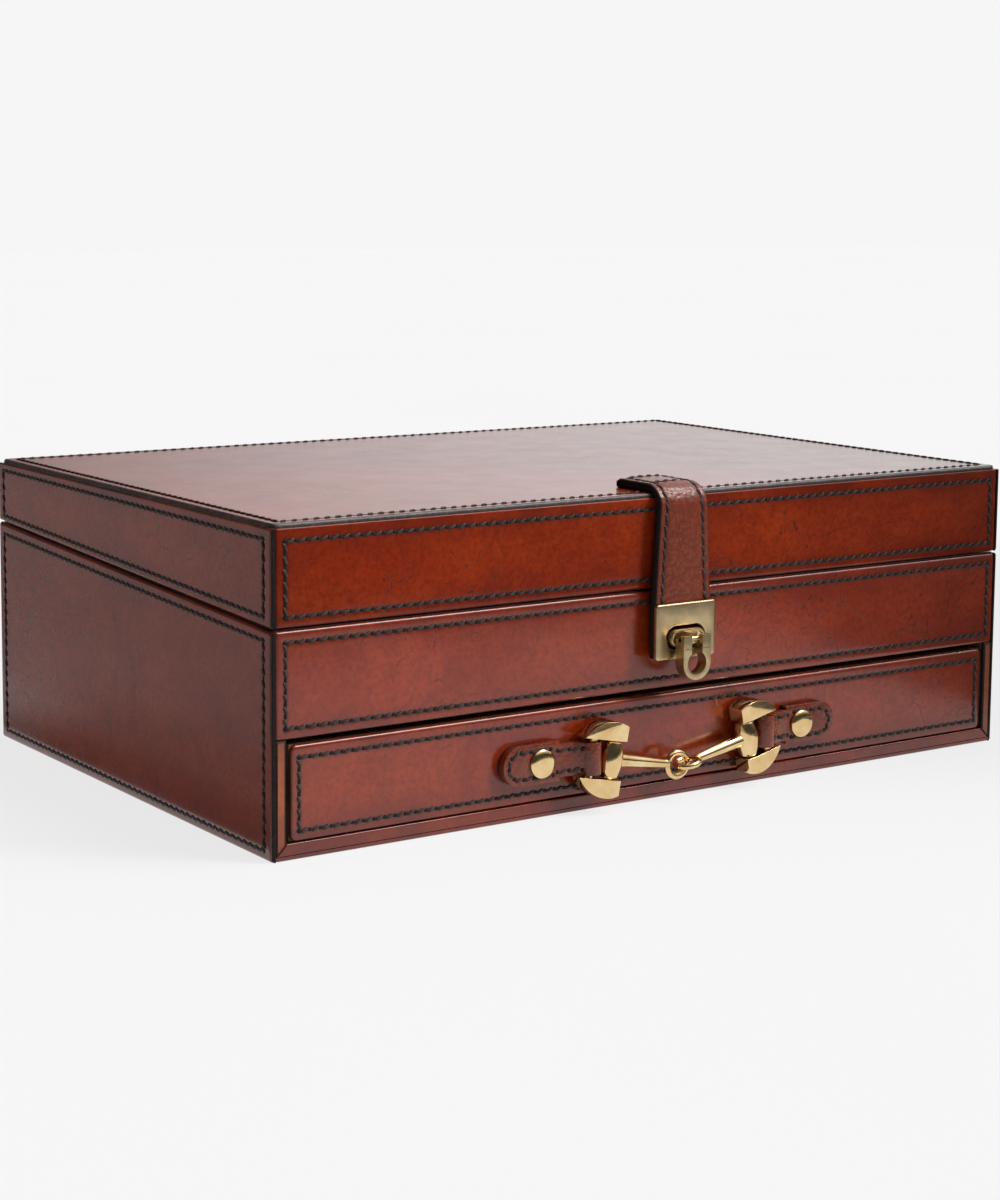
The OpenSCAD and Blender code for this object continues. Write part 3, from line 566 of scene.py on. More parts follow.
class Stitches:
    """Gathers the stitches of one leather piece and makes one mesh of them."""

    def __init__(self, name, body, slot):
        self.name = name
        self.body = body
        self.slot = slot
        self.shape = ([], [])
        self.mats = []

    def add(self, verts, faces, mat):
        gather(self.shape, verts, faces)
        self.mats += [mat] * len(faces)

    def hole(self, centre, along, across, up):
        # Flat disc at a needle hole, coloured with the near black painted shade of the hole.
        verts = [centre + up * HOLE_MIDDLE_UP]
        for _, c, s in circle(HOLE_SIDES):
            rim = centre + along * (HOLE_ALONG * c) + across * (HOLE_ACROSS * s)
            verts.append(rim + up * HOLE_RIM_UP)
        faces = [(0, 1 + i, 1 + (i + 1) % HOLE_SIDES) for i in range(HOLE_SIDES)]
        faces.append(tuple(1 + i for i in reversed(range(HOLE_SIDES))))
        self.add(verts, faces, 1)

    def stitch(self, centre, along, across, up, length):
        """One slanted, twisted stitch whose ends dive into their holes."""
        slant = radians(STITCH_SLANT + random.uniform(-3.5, 3.5))
        size = STITCH_R * random.uniform(0.92, 1.06)
        run = along * cos(slant) + across * sin(slant)
        side = across * cos(slant) - along * sin(slant)
        half = length * 0.5
        phase = random.uniform(0, 6.28)
        verts = []
        for t in spread(THREAD_RINGS):
            lift = STITCH_RISE * (1 - t ** 4) - STITCH_DIVE * t ** 4
            width = size * (1 - 0.45 * t ** 6)
            for a, c, s in circle(THREAD_SIDES):
                ply = 1 + PLY_DEPTH * cos(2 * a - t * PLY_TWIST + phase)
                verts.append(centre + run * (half * t) + side * (width * ply * c)
                             + up * (lift + THREAD_FLATNESS * width * ply * s))
        faces = grid_faces(THREAD_RINGS, THREAD_SIDES) + end_caps(THREAD_RINGS, THREAD_SIDES)
        self.add(verts, faces, 0)

    def row(self, points, ups):
        """Even stitches along a chain of points, with the surface normal at each point."""
        points = [Vector(p) for p in points]
        ups = [Vector(u).normalized() for u in ups]
        lengths = [(b - a).length for a, b in zip(points, points[1:])]
        total = sum(lengths)
        count = max(1, round(total / STITCH_PITCH))
        step = total / count

        def at(s):
            """Point, direction, side and normal at the distance s along the chain."""
            for a, b, u, v, length in zip(points, points[1:], ups, ups[1:], lengths):
                if s <= length or b is points[-1]:
                    t = min(1.0, s / length)
                    along, up = (b - a).normalized(), u.lerp(v, t).normalized()
                    return a.lerp(b, t), along, up.cross(along).normalized(), up
                s -= length

        for i in range(count):
            self.stitch(*at((i + 0.5) * step), step * STITCH_FILL)
            self.hole(*at(min(i * step + 0.001, total)))
        self.hole(*at(total))

    def mesh(self):
        return new_object(self.name, *self.shape, (THREAD, HOLE_SHADE), self.mats)

    def done(self):
        return place(self.mesh(), self.body, self.slot)


# ------------------------------------------------------------------ leather panels
EDGE_R = 1.15
GROOVE = 0.08
GROOVE_W = 0.8
RIM_OFFSETS = (0.0, 0.12, 0.35, 0.7, 1.15, 1.7)
GROOVE_OFFSETS = (-1.6, -0.9, -0.45, 0.0, 0.45, 0.9, 1.6)
CELL = 6.0
CELL_GAP = 2.2
PLAIN_INSET = 2.0
CLOSEST = 0.08
GROOVE_PAST = 1.5
SWELL = 0.6
SWELL_IN = 6.0
STITCH_POINTS = 12
BURNISH_W = 1.5
BORDER_W = 13.0
EDGE_LEVEL = 0.8


def offsets(length, inset0, inset1):
    """Grid lines across a panel: close at the rims and the stitch grooves, even between."""
    lines = set()
    for o in RIM_OFFSETS:
        lines.add(round(o, 3))
        lines.add(round(length - o, 3))
    for g in GROOVE_OFFSETS:
        for edge in ((inset0 + g) if inset0 else None, (length - inset1 - g) if inset1 else None):
            if edge is not None and RIM_OFFSETS[-1] < edge < length - RIM_OFFSETS[-1]:
                lines.add(round(edge, 3))
    start = (inset0 or PLAIN_INSET) + CELL_GAP
    end = length - (inset1 or PLAIN_INSET) - CELL_GAP
    count = max(1, round((end - start) / CELL))
    for i in range(count + 1):
        lines.add(round(start + (end - start) * i / count, 3))
    out = []
    for value in sorted(lines):
        if not out or value - out[-1] > CLOSEST:
            out.append(value)
    out[-1] = length
    return out


def edge_drop(d, radius):
    if d >= radius:
        return 0.0
    return radius - sqrt(max(0.0, radius * radius - (radius - d) ** 2))


def groove_depth(d, inset):
    if not inset:
        return 0.0
    return GROOVE * exp(-((d - inset) / GROOVE_W) ** 2)


def ripple(x, y, z):
    """Slow unevenness of hand worked hide."""
    return (0.10 * sin(x * 0.051 + 1.3) * sin(y * 0.043 + z * 0.060)
            + 0.06 * sin(x * 0.117 + z * 0.15 + 0.5) * cos(y * 0.091))


def round_off(u, v, width, height, corner_r):
    """Moves a grid point of a panel so that the grid's corners lie on arcs."""
    du, dv = min(u, width - u), min(v, height - v)
    if du >= corner_r or dv >= corner_r:
        return u, v
    a = (corner_r - du) / corner_r
    b = (corner_r - dv) / corner_r
    du = corner_r - corner_r * a * sqrt(1 - b * b / 2)
    dv = corner_r - corner_r * b * sqrt(1 - a * a / 2)
    return (du if u < width / 2 else width - du), (dv if v < height / 2 else height - dv)


def stitch_round(stitches, spot, normal, left, right, bottom, top):
    """Four rows of stitches between the corners of a panel's stitch line."""
    turns = [(left, bottom), (right, bottom), (right, top), (left, top), (left, bottom)]
    for (u0, v0), (u1, v1) in zip(turns, turns[1:]):
        steps = max(2, int(hypot(u1 - u0, v1 - v0) / STITCH_POINTS))
        points = [spot(u0 + (u1 - u0) * i / steps, v0 + (v1 - v0) * i / steps)
                  for i in range(steps + 1)]
        stitches.row(points, [normal] * len(points))


def panel(name, body, slot, nodes, corners, insets, burnish, mats=(LEATHER, EDGE),
          radius=EDGE_R, corner_r=0.0, stitches=None, rims=(1, 1, 1, 1), wave=1.0):
    """A leather skin over four corners (u0v0, u1v0, u1v1, u0v1), seen from outside.

    insets are the stitch rows' distances from the left, right, bottom and top rims, 0 for none.
    rims tells how far each rim is rounded, and burnish how black each rim is.
    """
    c00, c10, c11, c01 = [Vector(c) for c in corners]
    normal = (c10 - c00).cross(c01 - c00).normalized()
    width = (c10 - c00).length
    height = max((c01 - c00).length, (c11 - c10).length)
    left, right, bottom, top = insets
    us = offsets(width, left, right)
    vs = offsets(height, bottom, top)

    def at(u, v):
        s, t = u / width, v / height
        return c00 * (1 - s) * (1 - t) + c10 * s * (1 - t) + c11 * s * t + c01 * (1 - s) * t

    verts, rim_values, stitch_values, border_values = [], [], [], []
    for v in vs:
        for u in us:
            point = at(*round_off(u, v, width, height, corner_r))
            near = (u, width - u, v, height - v)
            drop = sum(edge_drop(d, radius * k) for d, k in zip(near, rims))
            drop = min(drop, SKIN * 0.9)
            inside_u = min(u - left, width - u - right) > -GROOVE_PAST
            inside_v = min(v - bottom, height - v - top) > -GROOVE_PAST
            grooves = []
            if inside_v:
                grooves += [groove_depth(u, left), groove_depth(width - u, right)]
            if inside_u:
                grooves += [groove_depth(v, bottom), groove_depth(height - v, top)]
            groove = max(grooves or [0.0])
            swell = ripple(*point) * wave * min(1.0, min(near) / SWELL_IN)
            verts.append(tuple(point - normal * (drop + groove - swell * SWELL)))
            rim_values.append(max(b * max(0.0, 1.0 - d / BURNISH_W) for d, b in zip(near, burnish)))
            stitch_values.append(min(1.0, groove / GROOVE))
            # Mask for the darkening towards the borders: part stain, part painted shade.
            border_values.append(max(0.0, 1.0 - min(near) / BORDER_W) ** 1.3)
    faces = grid_faces(len(vs), len(us), closed=False)
    loop = border_loop(len(us), len(vs))
    base = len(verts)
    for i in loop:
        flat = Vector(verts[i])
        depth = normal.dot(flat - c00)
        verts.append(tuple(flat - normal * (depth + SKIN)))
        rim_values.append(rim_values[i])
        stitch_values.append(0.0)
        border_values.append(1.0)
    n = len(loop)
    faces += [(loop[i], base + i, base + (i + 1) % n, loop[(i + 1) % n]) for i in range(n)]
    faces.append(tuple(base + i for i in reversed(range(n))))
    obj = new_object(name, verts, faces, mats, blackened(faces, rim_values, EDGE_LEVEL))
    paint(obj, rim=rim_values, stitch=stitch_values, border=border_values)
    mark_sharp(obj, 60)
    place(obj, body, slot, *nodes)
    if not stitches:
        return

    def spot(u, v):
        p = at(u, v)
        return p + normal * (ripple(*p) * wave * 0.3 - GROOVE)

    stitch_round(stitches, spot, normal, left, width - right, bottom, height - top)


FRONT_INSET = 3.6
SIDE_INSET = 5.0
TOP_STITCH = 4.5
# How black or how round the left, right, bottom and top rims are
LID_RIMS = (1, 1, 1, 0.3)
BASE_BURNISH = (0.3, 0.3, 0.3, 0.3)
FRONT_BURNISH = (0.72, 0.72, 0.35, 0.35)
SIDE_BURNISH = (1.05, 1.05, 0.5, 0.5)
TOP_BURNISH = (1.25, 1.25, 1.25, 1.25)
STRIP_BURNISH = (2.3, 2.3, 1.2, 1.2)
RAIL_BURNISH = (0.3, 0.3, 0.3, 0.5)


def upright(name, body, node, x0, x1, y, z0, z1, insets, thread, **looks):
    """A stitched panel that faces the front or the back."""
    panel(name, body, "cover_leather", [node],
          [(x0, y, z0), (x1, y, z0), (x1, y, z1), (x0, y, z1)], insets, stitches=thread,
          burnish=FRONT_BURNISH, **looks)


def leather_skins():
    """All the glazed panels of the body, the lid and the drawer."""
    case_thread = Stitches("case_stitching", "case", "cover_leather")
    lid_thread = Stitches("lid_stitching", "lid", "cover_leather")
    drawer_thread = Stitches("drawer_stitching", "drawer", "cover_leather")
    x, y, f = SKIN_X, HALF_D, FRONT_INSET
    upright("lid_front_skin", "lid", "lid_front_leather", -x, x, -y, LID_FRONT, SKIN_TOP,
            (f, f, 3.4, 4.0), lid_thread, mats=(LID_LEATHER, EDGE), rims=LID_RIMS)
    upright("front_band_skin", "case", "front_band_leather", -x, x, -y, BAND_Z, BODY_FRONT,
            (f, f, 3.6, 3.8), case_thread)
    drawer_x, _, drawer_top = high("drawer_front_leather")
    upright("drawer_front_skin", "drawer", "drawer_front_leather", -drawer_x, drawer_x, -y,
            low("drawer_front_leather")[2], drawer_top, (3.0, 3.0, 3.4, 4.1), drawer_thread,
            corner_r=2.4)
    upright("lid_back_skin", "lid", "lid_back_leather", x, -x, y, LID_BACK, SKIN_TOP,
            (f, f, 3.2, 4.0), lid_thread)
    upright("back_skin", "case", "back_leather", x, -x, y, 0, BODY_BACK, (f, f, 3.4, 3.6),
            case_thread)
    lid_z = {-y: LID_FRONT, y: LID_BACK}
    body_z = {-y: BODY_FRONT, y: BODY_BACK}
    for side, name in ((-1, "left"), (1, "right")):
        sx = side * HALF_W
        front, back = side * -y, side * y
        panel(f"lid_{name}_skin", "lid", "cover_leather", [f"lid_{name}_leather"],
              [(sx, front, lid_z[front]), (sx, back, lid_z[back]),
               (sx, back, SKIN_TOP), (sx, front, SKIN_TOP)],
              (SIDE_INSET, SIDE_INSET, 3.3, 3.6), stitches=lid_thread, burnish=SIDE_BURNISH,
              rims=LID_RIMS)
        panel(f"{name}_side_skin", "case", "cover_leather", [f"{name}_side_leather"],
              [(sx, front, 0), (sx, back, 0), (sx, back, body_z[back]), (sx, front, body_z[front])],
              (SIDE_INSET, SIDE_INSET, 3.4, 4.0), stitches=case_thread, burnish=SIDE_BURNISH)
    tx, ty = x + SKIN - TOP_INSET, y - TOP_INSET
    panel("lid_top_skin", "lid", "cover_leather", ["lid_top_leather"],
          [(-tx, -ty, TOP_Z), (tx, -ty, TOP_Z), (tx, ty, TOP_Z), (-tx, ty, TOP_Z)],
          (TOP_STITCH,) * 4, mats=(LEATHER, TOP_EDGE), corner_r=3.0, stitches=lid_thread,
          burnish=TOP_BURNISH, wave=0.25)
    panel("base_skin", "case", "cover_leather", ["base_leather"],
          [(-x, y, 0), (x, y, 0), (x, -y, 0), (-x, -y, 0)], (0, 0, 0, 0), radius=0.8,
          burnish=BASE_BURNISH)
    for thread in (case_thread, lid_thread, drawer_thread):
        thread.done()


def edge_strips():
    """Russet strips on the front edges of the side walls and the floor, mitred together."""
    y = -HALF_D
    for name, xs, lows in (("left", (-SKIN_X, -IN_X), (SKIN, FLOOR_TOP)),
                           ("right", (IN_X, SKIN_X), (FLOOR_TOP, SKIN))):
        panel(f"{name}_post_strip", "case", "edge_leather", [f"{name}_post_leather"],
              [(xs[0], y, lows[0]), (xs[1], y, lows[1]), (xs[1], y, BAND_Z), (xs[0], y, BAND_Z)],
              (0, 0, 0, 0), mats=(STRIP, EDGE), radius=0.6, wave=0.3, burnish=STRIP_BURNISH)
    panel("bottom_rail_strip", "case", "edge_leather", ["bottom_rail_leather"],
          [(-SKIN_X, y, SKIN), (SKIN_X, y, SKIN), (IN_X, y, FLOOR_TOP), (-IN_X, y, FLOOR_TOP)],
          (0, 0, 0, 0), radius=0.6, wave=0.3, burnish=RAIL_BURNISH)


# ------------------------------------------------------------------ pieces taken from CAD nodes
SLOT_MATERIALS = {"cover_leather": LEATHER, "edge_leather": STRIP, "strap_leather": STRAP,
                  "board": WOOD, "suede": SUEDE, "felt": FELT, "latch_brass": LATCH_BRASS,
                  "hinge_brass": HINGE_BRASS, "bit_brass": BIT_BRASS}
NODE_SLOT = {s["node"]: s["material_slot"] for s in frame["record"]["subparts"]}
WELD_M = 1e-6
FLAT_ANGLE = 0.6


def stand_in(obj, node):
    """Puts a piece on its node's body, in the node's place."""
    return place(obj, frame["nodes"][node]["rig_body"], NODE_SLOT[node], node)


def copy_node(node, name):
    """A loose, clean copy of a CAD node's mesh with its slot's material."""
    mesh = frame["nodes"][node].data.copy()
    obj = linked(name, mesh)
    with edited(mesh) as bm:
        bmesh.ops.remove_doubles(bm, verts=bm.verts, dist=WELD_M)
        bmesh.ops.dissolve_limit(bm, angle_limit=radians(FLAT_ANGLE), verts=bm.verts,
                                 edges=bm.edges)
    mesh.materials.clear()
    mesh.materials.append(SLOT_MATERIALS[NODE_SLOT[node]])
    return obj


def dress(node, width, segments, angle=35.0):
    """A CAD node with softened edges."""
    return stand_in(soften(copy_node(node, f"{node}_dressed"), width, segments, angle), node)


def cut(obj, verts, faces):
    """Cuts a closed shape out of a closed piece."""
    tool = solid("tool", verts, faces)
    boolean = obj.modifiers.new("boolean", "BOOLEAN")
    boolean.operation = "DIFFERENCE"
    boolean.solver = "EXACT"
    boolean.object = tool
    bpy.context.view_layer.update()
    bake(obj)
    bpy.data.objects.remove(tool)


def box_shape(lo, hi):
    (x0, y0, z0), (x1, y1, z1) = lo, hi
    verts = [(x, y, z) for x in (x0, x1) for y in (y0, y1) for z in (z0, z1)]
    faces = [(0, 1, 3, 2), (4, 6, 7, 5), (0, 4, 5, 1), (2, 3, 7, 6), (0, 2, 6, 4), (1, 5, 7, 3)]
    return verts, faces


def stadium(cx, cz, w, h, steps=10):
    """Outline of a slot with round ends, counter clockwise."""
    r = h / 2
    half = w / 2 - r
    return arc(cx + half, cz, r, -90, 90, steps) + arc(cx - half, cz, r, 90, 270, steps)


def screw_heads(name, node, centres, out, r, h):
    """Domed, slotted heads on a flat face. out is the way they stand, +1 or -1 along Y."""
    shape = ([], [])
    dome = [(0, -0.3), (r, -0.3), (r, h * 0.3), (r * 0.93, h * 0.58), (r * 0.72, h * 0.84),
            (r * 0.40, h * 0.97), (0, h)]
    for centre in centres:
        spin = turned(random.uniform(0, 180), "Z")
        head_v, head_f = lathe(dome, 28)
        head = solid("head", moved(head_v, spin), head_f)
        slot_v, slot_f = box_shape((-r * 1.2, -r * 0.13, h * 0.45), (r * 1.2, r * 0.13, h * 2))
        cut(head, moved(slot_v, spin), slot_f)
        place_at = Matrix.Translation(centre) @ turned(-90 * out, "X")
        gather(shape, moved([v.co / MM for v in head.data.vertices], place_at),
               [p.vertices for p in head.data.polygons])
        bpy.data.objects.remove(head)
    obj = new_object(name, *shape, (SLOT_MATERIALS[NODE_SLOT[node]],))
    mark_sharp(obj, 40)
    stand_in(obj, node)


# ------------------------------------------------------------------ strap and latch
STRAP_ROWS = 1.3
STRAP_EDGE_R = 1.0
STRAP_STITCH = 2.9
STRAP_GROOVE = 0.28
STRAP_GROOVE_W = 0.55
# Distances of the lines of points from either edge, and how many lie between the last two
STRAP_LINES = (0, 0.15, 0.5, 1.0, 1.7, 2.3, 2.7, 2.95, 3.3, 3.8, 5.0)
STRAP_MIDDLE_LINES = 9
STRAP_EDGE_LEVEL = 0.72
STRAP_SINK = 0.16
STRAP_IN = 0.6
STRAP_END_ROW = 2
FAR = 99
STRAP_CROWN = 0.30
WRINKLE = 0.09
WRINKLE_ROWS = 22.0
FOLD_R = 9.0
FOLD_STEPS = 20
FOLD_THINNING = 0.24
# How far below the top the strap's bend starts and ends
STRAP_BEND = (0.2, 11)


def strap_path(back_y, top_z, front_out, end_z):
    """Outer line of the strap as (y, z, angle of its outward normal, thickness)."""
    front_y = -HALF_D - front_out
    centre_y, centre_z = front_y + FOLD_R, top_z - FOLD_R
    path = []
    steps = int((back_y - centre_y) / STRAP_ROWS)
    for i in range(steps):
        path.append((back_y + (centre_y - back_y) * i / steps, top_z, 90.0, 1.0))
    for i in range(FOLD_STEPS):
        a = 90 * i / FOLD_STEPS
        thin = 1.0 - FOLD_THINNING * sin(radians(2 * a))
        path.append((centre_y - FOLD_R * sin(radians(a)),
                     centre_z + FOLD_R * cos(radians(a)), 90.0 - a, thin))
    steps = int((centre_z - end_z) / STRAP_ROWS)
    for i in range(steps + 1):
        path.append((front_y, centre_z + (end_z - centre_z) * i / steps, 0.0, 1.0))
    return path


def strap_section(k, z, width, body, from_end, near_fold):
    """Outline of row k of the strap as (across, height, rim, stitch) points."""
    us = [-width + o for o in STRAP_LINES]
    inner = width - STRAP_LINES[-1]
    count = STRAP_MIDDLE_LINES + 1
    us += [-inner + 2 * inner * i / count for i in range(1, count)]
    us += [-u for u in reversed(us[:len(STRAP_LINES)])]
    profile = []
    for u in us:
        edge = width - abs(u)
        drop = 0.75 * (edge_drop(edge, STRAP_EDGE_R) + edge_drop(from_end, STRAP_EDGE_R))
        g = STRAP_GROOVE * exp(-((edge - STRAP_STITCH) / STRAP_GROOVE_W) ** 2)
        crown = STRAP_CROWN * (u / width) ** 2
        wrinkle = WRINKLE * near_fold * sin(k * 1.9 + 1.4 * sin(u * 0.33 + k * 0.2))
        wrinkle *= 0.3 + 0.7 * min(1.0, edge / 3)
        wave = 0.08 * sin(z * 0.13 + u * 0.11)
        height = -STRAP_SINK - min(drop, body * 0.35) - g - crown + wrinkle + wave
        profile.append((u, min(height, 0.0), max(0.0, 1.0 - edge / 1.5), g / STRAP_GROOVE))
    lower = [(width, 0.36), (width - 0.25, 0.47), (width, 0.58), (width - 0.1, 0.88),
             (width - 0.7, 1.0)]
    profile += [(u, -body * h, 1.0, 0.0) for u, h in lower]
    profile += [(width * u, -body, 0.6, 0.0) for u in (0.5, 0.0, -0.5)]
    return profile + [(-u, -body * h, 1.0, 0.0) for u, h in reversed(lower)]


def strap_normal(a):
    return Vector((0, -cos(radians(a)), sin(radians(a))))


def strap_threads(obj, path, mid_x, width_at, plate_top):
    """Stitches down both edges of the strap, across its end and before the fold."""
    threads = Stitches("strap_stitching", "lid", "strap_leather")
    tree = BVHTree.FromObject(obj, bpy.context.evaluated_depsgraph_get())

    def on_strap(u, k):
        y, z, a, _ = path[k]
        normal = strap_normal(a)
        start = Vector((mid_x + u * (width_at(z) - STRAP_STITCH), y, z)) + normal * 6
        return tree.ray_cast(start * MM, -normal)[0] / MM, normal

    last = max(k for k in range(len(path)) if path[k][1] > plate_top - 1)
    front_row = next(k for k, p in enumerate(path) if p[2] < 90) - 1
    rows = [[on_strap(u, k) for k in range(STRAP_END_ROW, last + 1)] for u in (-1, 1)]
    rows += [[on_strap(u / 6, k) for u in range(-6, 7)] for k in (STRAP_END_ROW, front_row)]
    for row in rows:
        threads.row([p for p, _ in row], [n for _, n in row])
    return threads.mesh()


def strap():
    """One strip from the lid top over the front edge down behind the eyelet plate."""
    root_lo, root_hi = span("strap_root")
    tongue_lo, tongue_hi = span("strap_tongue")
    thick = root_hi[2] - TOP_Z
    mid_x = middle("strap_root", 0)
    half_root = (root_hi[0] - root_lo[0]) / 2
    half_end = (tongue_hi[0] - tongue_lo[0]) / 2
    plate_top = high("eyelet_plate")[2]
    end_z = tongue_lo[2]
    path = strap_path(root_hi[1], root_hi[2], -tongue_lo[1] - HALF_D, end_z)
    fold = next(k for k, p in enumerate(path) if p[2] <= 45.0)

    def width_at(z):
        t = min(1.0, max(0.0, (SKIN_TOP - z) / (SKIN_TOP - plate_top)))
        return half_root - STRAP_IN + (half_end - half_root + STRAP_IN) * t

    verts, rims, grooves = [], [], []
    for k, (y, z, a, thin) in enumerate(path):
        from_end = {90.0: abs(root_hi[1] - y), 0.0: abs(z - end_z)}.get(a, FAR)
        near_fold = max(0.0, 1.0 - abs(k - fold) / WRINKLE_ROWS)
        section = strap_section(k, z, width_at(z), thick * thin, from_end, near_fold)
        for u, h, rim, g in section:
            verts.append(tuple(Vector((mid_x + u, y, z)) + strap_normal(a) * h))
            rims.append(rim)
            grooves.append(g)
    faces = grid_faces(len(path), len(section)) + end_caps(len(path), len(section))
    obj = new_object("closing_strap", verts, faces, (STRAP, EDGE),
                     blackened(faces, rims, STRAP_EDGE_LEVEL))
    paint(obj, rim=rims, stitch=grooves)
    fix_normals(obj)
    hole = stadium(mid_x, LATCH_Z, SLOT_W + HOLE_ROOM, SLOT_H + HOLE_ROOM)
    cut(obj, *prism(hole, -1, 12, front_turn))
    mark_sharp(obj, 55)
    mesh = strap_threads(obj, path, mid_x, width_at, plate_top)
    start, end = ((mid_x * MM, -HALF_D * MM, (TOP_Z - down) * MM) for down in STRAP_BEND)
    for piece in (obj, mesh):
        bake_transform(piece)
        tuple(start)
        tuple(end)
    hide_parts("strap_root", "strap_tongue")


SLOT_W = 17.0
SLOT_H = 8.4
BOSS_W = 14.8
BOSS_H = 6.2
LATCH_X = middle("bail", 0)
LATCH_Z = middle("bail_pin", 2)
BAIL_T = high("bail")[1] - low("bail")[1]
BAIL_OUT = -low("bail")[1] - HALF_D - BAIL_T / 2
BAIL_LOW = low("bail")[2]
BAIL_R = (high("bail")[0] - low("bail")[0]) / 2
BASE_T = 1.2
BAIL_SLOT = 2.35
BAIL_HOLE_R = 4.05
BAIL_TOP_CUT = 0.8
BAIL_GROOVE_DOWN = 0.7
BAIL_GROOVE_HALF = 0.17
BAIL_GROOVE_DEPTH = 0.38
HOLE_ROOM = 2.4


def eyelet_plate():
    """Satin plate with bevelled edges and a soft rim round its slot."""
    lo, hi = span("eyelet_plate")
    back = -hi[1] - HALF_D
    front = -lo[1] - HALF_D
    rows = []
    loops = ((0.0, back), (0.0, front - 0.55), (0.12, front - 0.25), (0.4, front - 0.06),
             (0.9, front))
    for inset, out in loops:
        x0, x1, z0, z1 = lo[0] + inset, hi[0] - inset, lo[2] + inset, hi[2] - inset
        rows.append([(x, z, out) for x, z in rounded_rect(x0, x1, z0, z1, 0.9)])
    slot_loops = ((0.75, front), (0.35, front - 0.10), (0.08, front - 0.35), (0.0, front - 0.7),
                  (0.0, back))
    for grow, out in slot_loops:
        rows.append([(x, z, out) for x, z in
                     matching_stadium(LATCH_X, LATCH_Z, SLOT_W + 2 * grow, SLOT_H + 2 * grow,
                                      rows[0])])
    obj = loft("eyelet_plate_dressed", rows, LATCH_BRASS, 50, ring=True)
    stand_in(obj, "eyelet_plate")


def rounded_rect(x0, x1, z0, z1, r):
    """Points counter clockwise from the lower right corner, the same number at any size."""
    pts = []
    for cx, cz, a in ((x1 - r, z0 + r, -90), (x1 - r, z1 - r, 0), (x0 + r, z1 - r, 90),
                      (x0 + r, z0 + r, 180)):
        pts += arc(cx, cz, r, a, a + 90, 4)
    dense = []
    for i, (ax, az) in enumerate(pts):
        bx, bz = pts[(i + 1) % len(pts)]
        cuts = 12 if i % 5 == 4 else 1
        dense += [(ax + (bx - ax) * k / cuts, az + (bz - az) * k / cuts) for k in range(cuts)]
    return dense


def matching_stadium(cx, cz, w, h, row):
    """Points of a slot outline on the rays from its middle through another row's points."""
    r = h / 2
    half = w / 2 - r
    out = []
    for x, z, _ in row:
        dx, dz = x - cx, z - cz
        length = hypot(dx, dz)
        dx, dz = dx / length, dz / length
        lo_t, hi_t = 0.0, w
        for _ in range(40):
            t = (lo_t + hi_t) / 2
            px, pz = dx * t, dz * t
            near = min(max(px, -half), half)
            inside = hypot(px - near, pz) < r
            lo_t, hi_t = (t, hi_t) if inside else (lo_t, t)
        out.append((cx + dx * lo_t, cz + dz * lo_t))
    return out


def loft(name, rows, mat, sharp, ring=False):
    """Skin over matching loops of (x, z, out) points on the case's front.

    The last loop is joined to the first for a ring, and both are capped otherwise.
    """
    n = len(rows[0])
    verts = [front_turn(x, z, out) for row in rows for x, z, out in row]
    if ring:
        faces = [tuple(i % len(verts) for i in face) for face in grid_faces(len(rows) + 1, n)]
    else:
        faces = grid_faces(len(rows), n) + end_caps(len(rows), n)
    return solid(name, verts, faces, (mat,), sharp)


BASE_HALF_W = 10.4
LOCK_SCREW_X = 8.9
LOCK_SCREW_R = 1.15


def lock_base():
    """Base plate, rimmed oval boss and the block that carries the bail."""
    lo, hi = span("lock_base")
    boss_out = BAIL_OUT - BAIL_T / 2 - 0.3
    plate = [[(x, z, out) for x, z in
              rounded_rect(LATCH_X - BASE_HALF_W + i, LATCH_X + BASE_HALF_W - i,
                           lo[2] + i, hi[2] - i, 1.0)]
             for i, out in ((0.0, 0.0), (0.0, BASE_T - 0.3), (0.3, BASE_T))]
    # The base plate takes the near black brass, painted shade beside the strap.
    parts = [loft("base_plate", plate, BASE_PLATE_SHADE_BRASS, 40)]
    rim = 0.95
    loops = ((0, BASE_T / 2), (0, boss_out - 0.35), (0.12, boss_out - 0.1), (0.35, boss_out),
             (rim - 0.2, boss_out), (rim, boss_out - 0.15), (rim + 0.1, boss_out - 0.8),
             (rim + 0.35, boss_out - 0.95))
    boss = [[(x, z, out) for x, z in stadium(LATCH_X, LATCH_Z, BOSS_W - 2 * i, BOSS_H - 2 * i, 14)]
            for i, out in loops]
    parts.append(loft("boss", boss, LATCH_BRASS, 40))
    block_w = 3.4
    half_t = BAIL_T / 2
    front = BAIL_OUT + half_t * 0.05
    outline = ([(boss_out - 1.4, -half_t), (BAIL_OUT, -half_t)]
               + arc(front - 1.2, -half_t + 1.2, 1.2, -90, 0, 5)
               + [(front, half_t), (boss_out - 1.4, half_t)])

    def block_turn(out, up, across):
        return (LATCH_X + across, -HALF_D - out, LATCH_Z + up)

    block = solid("block", *prism(outline, -block_w / 2, block_w / 2, block_turn), (LATCH_BRASS,))
    parts.append(soften(block, 0.3, 2, 50))
    stand_in(join("lock_base_dressed", parts), "lock_base")


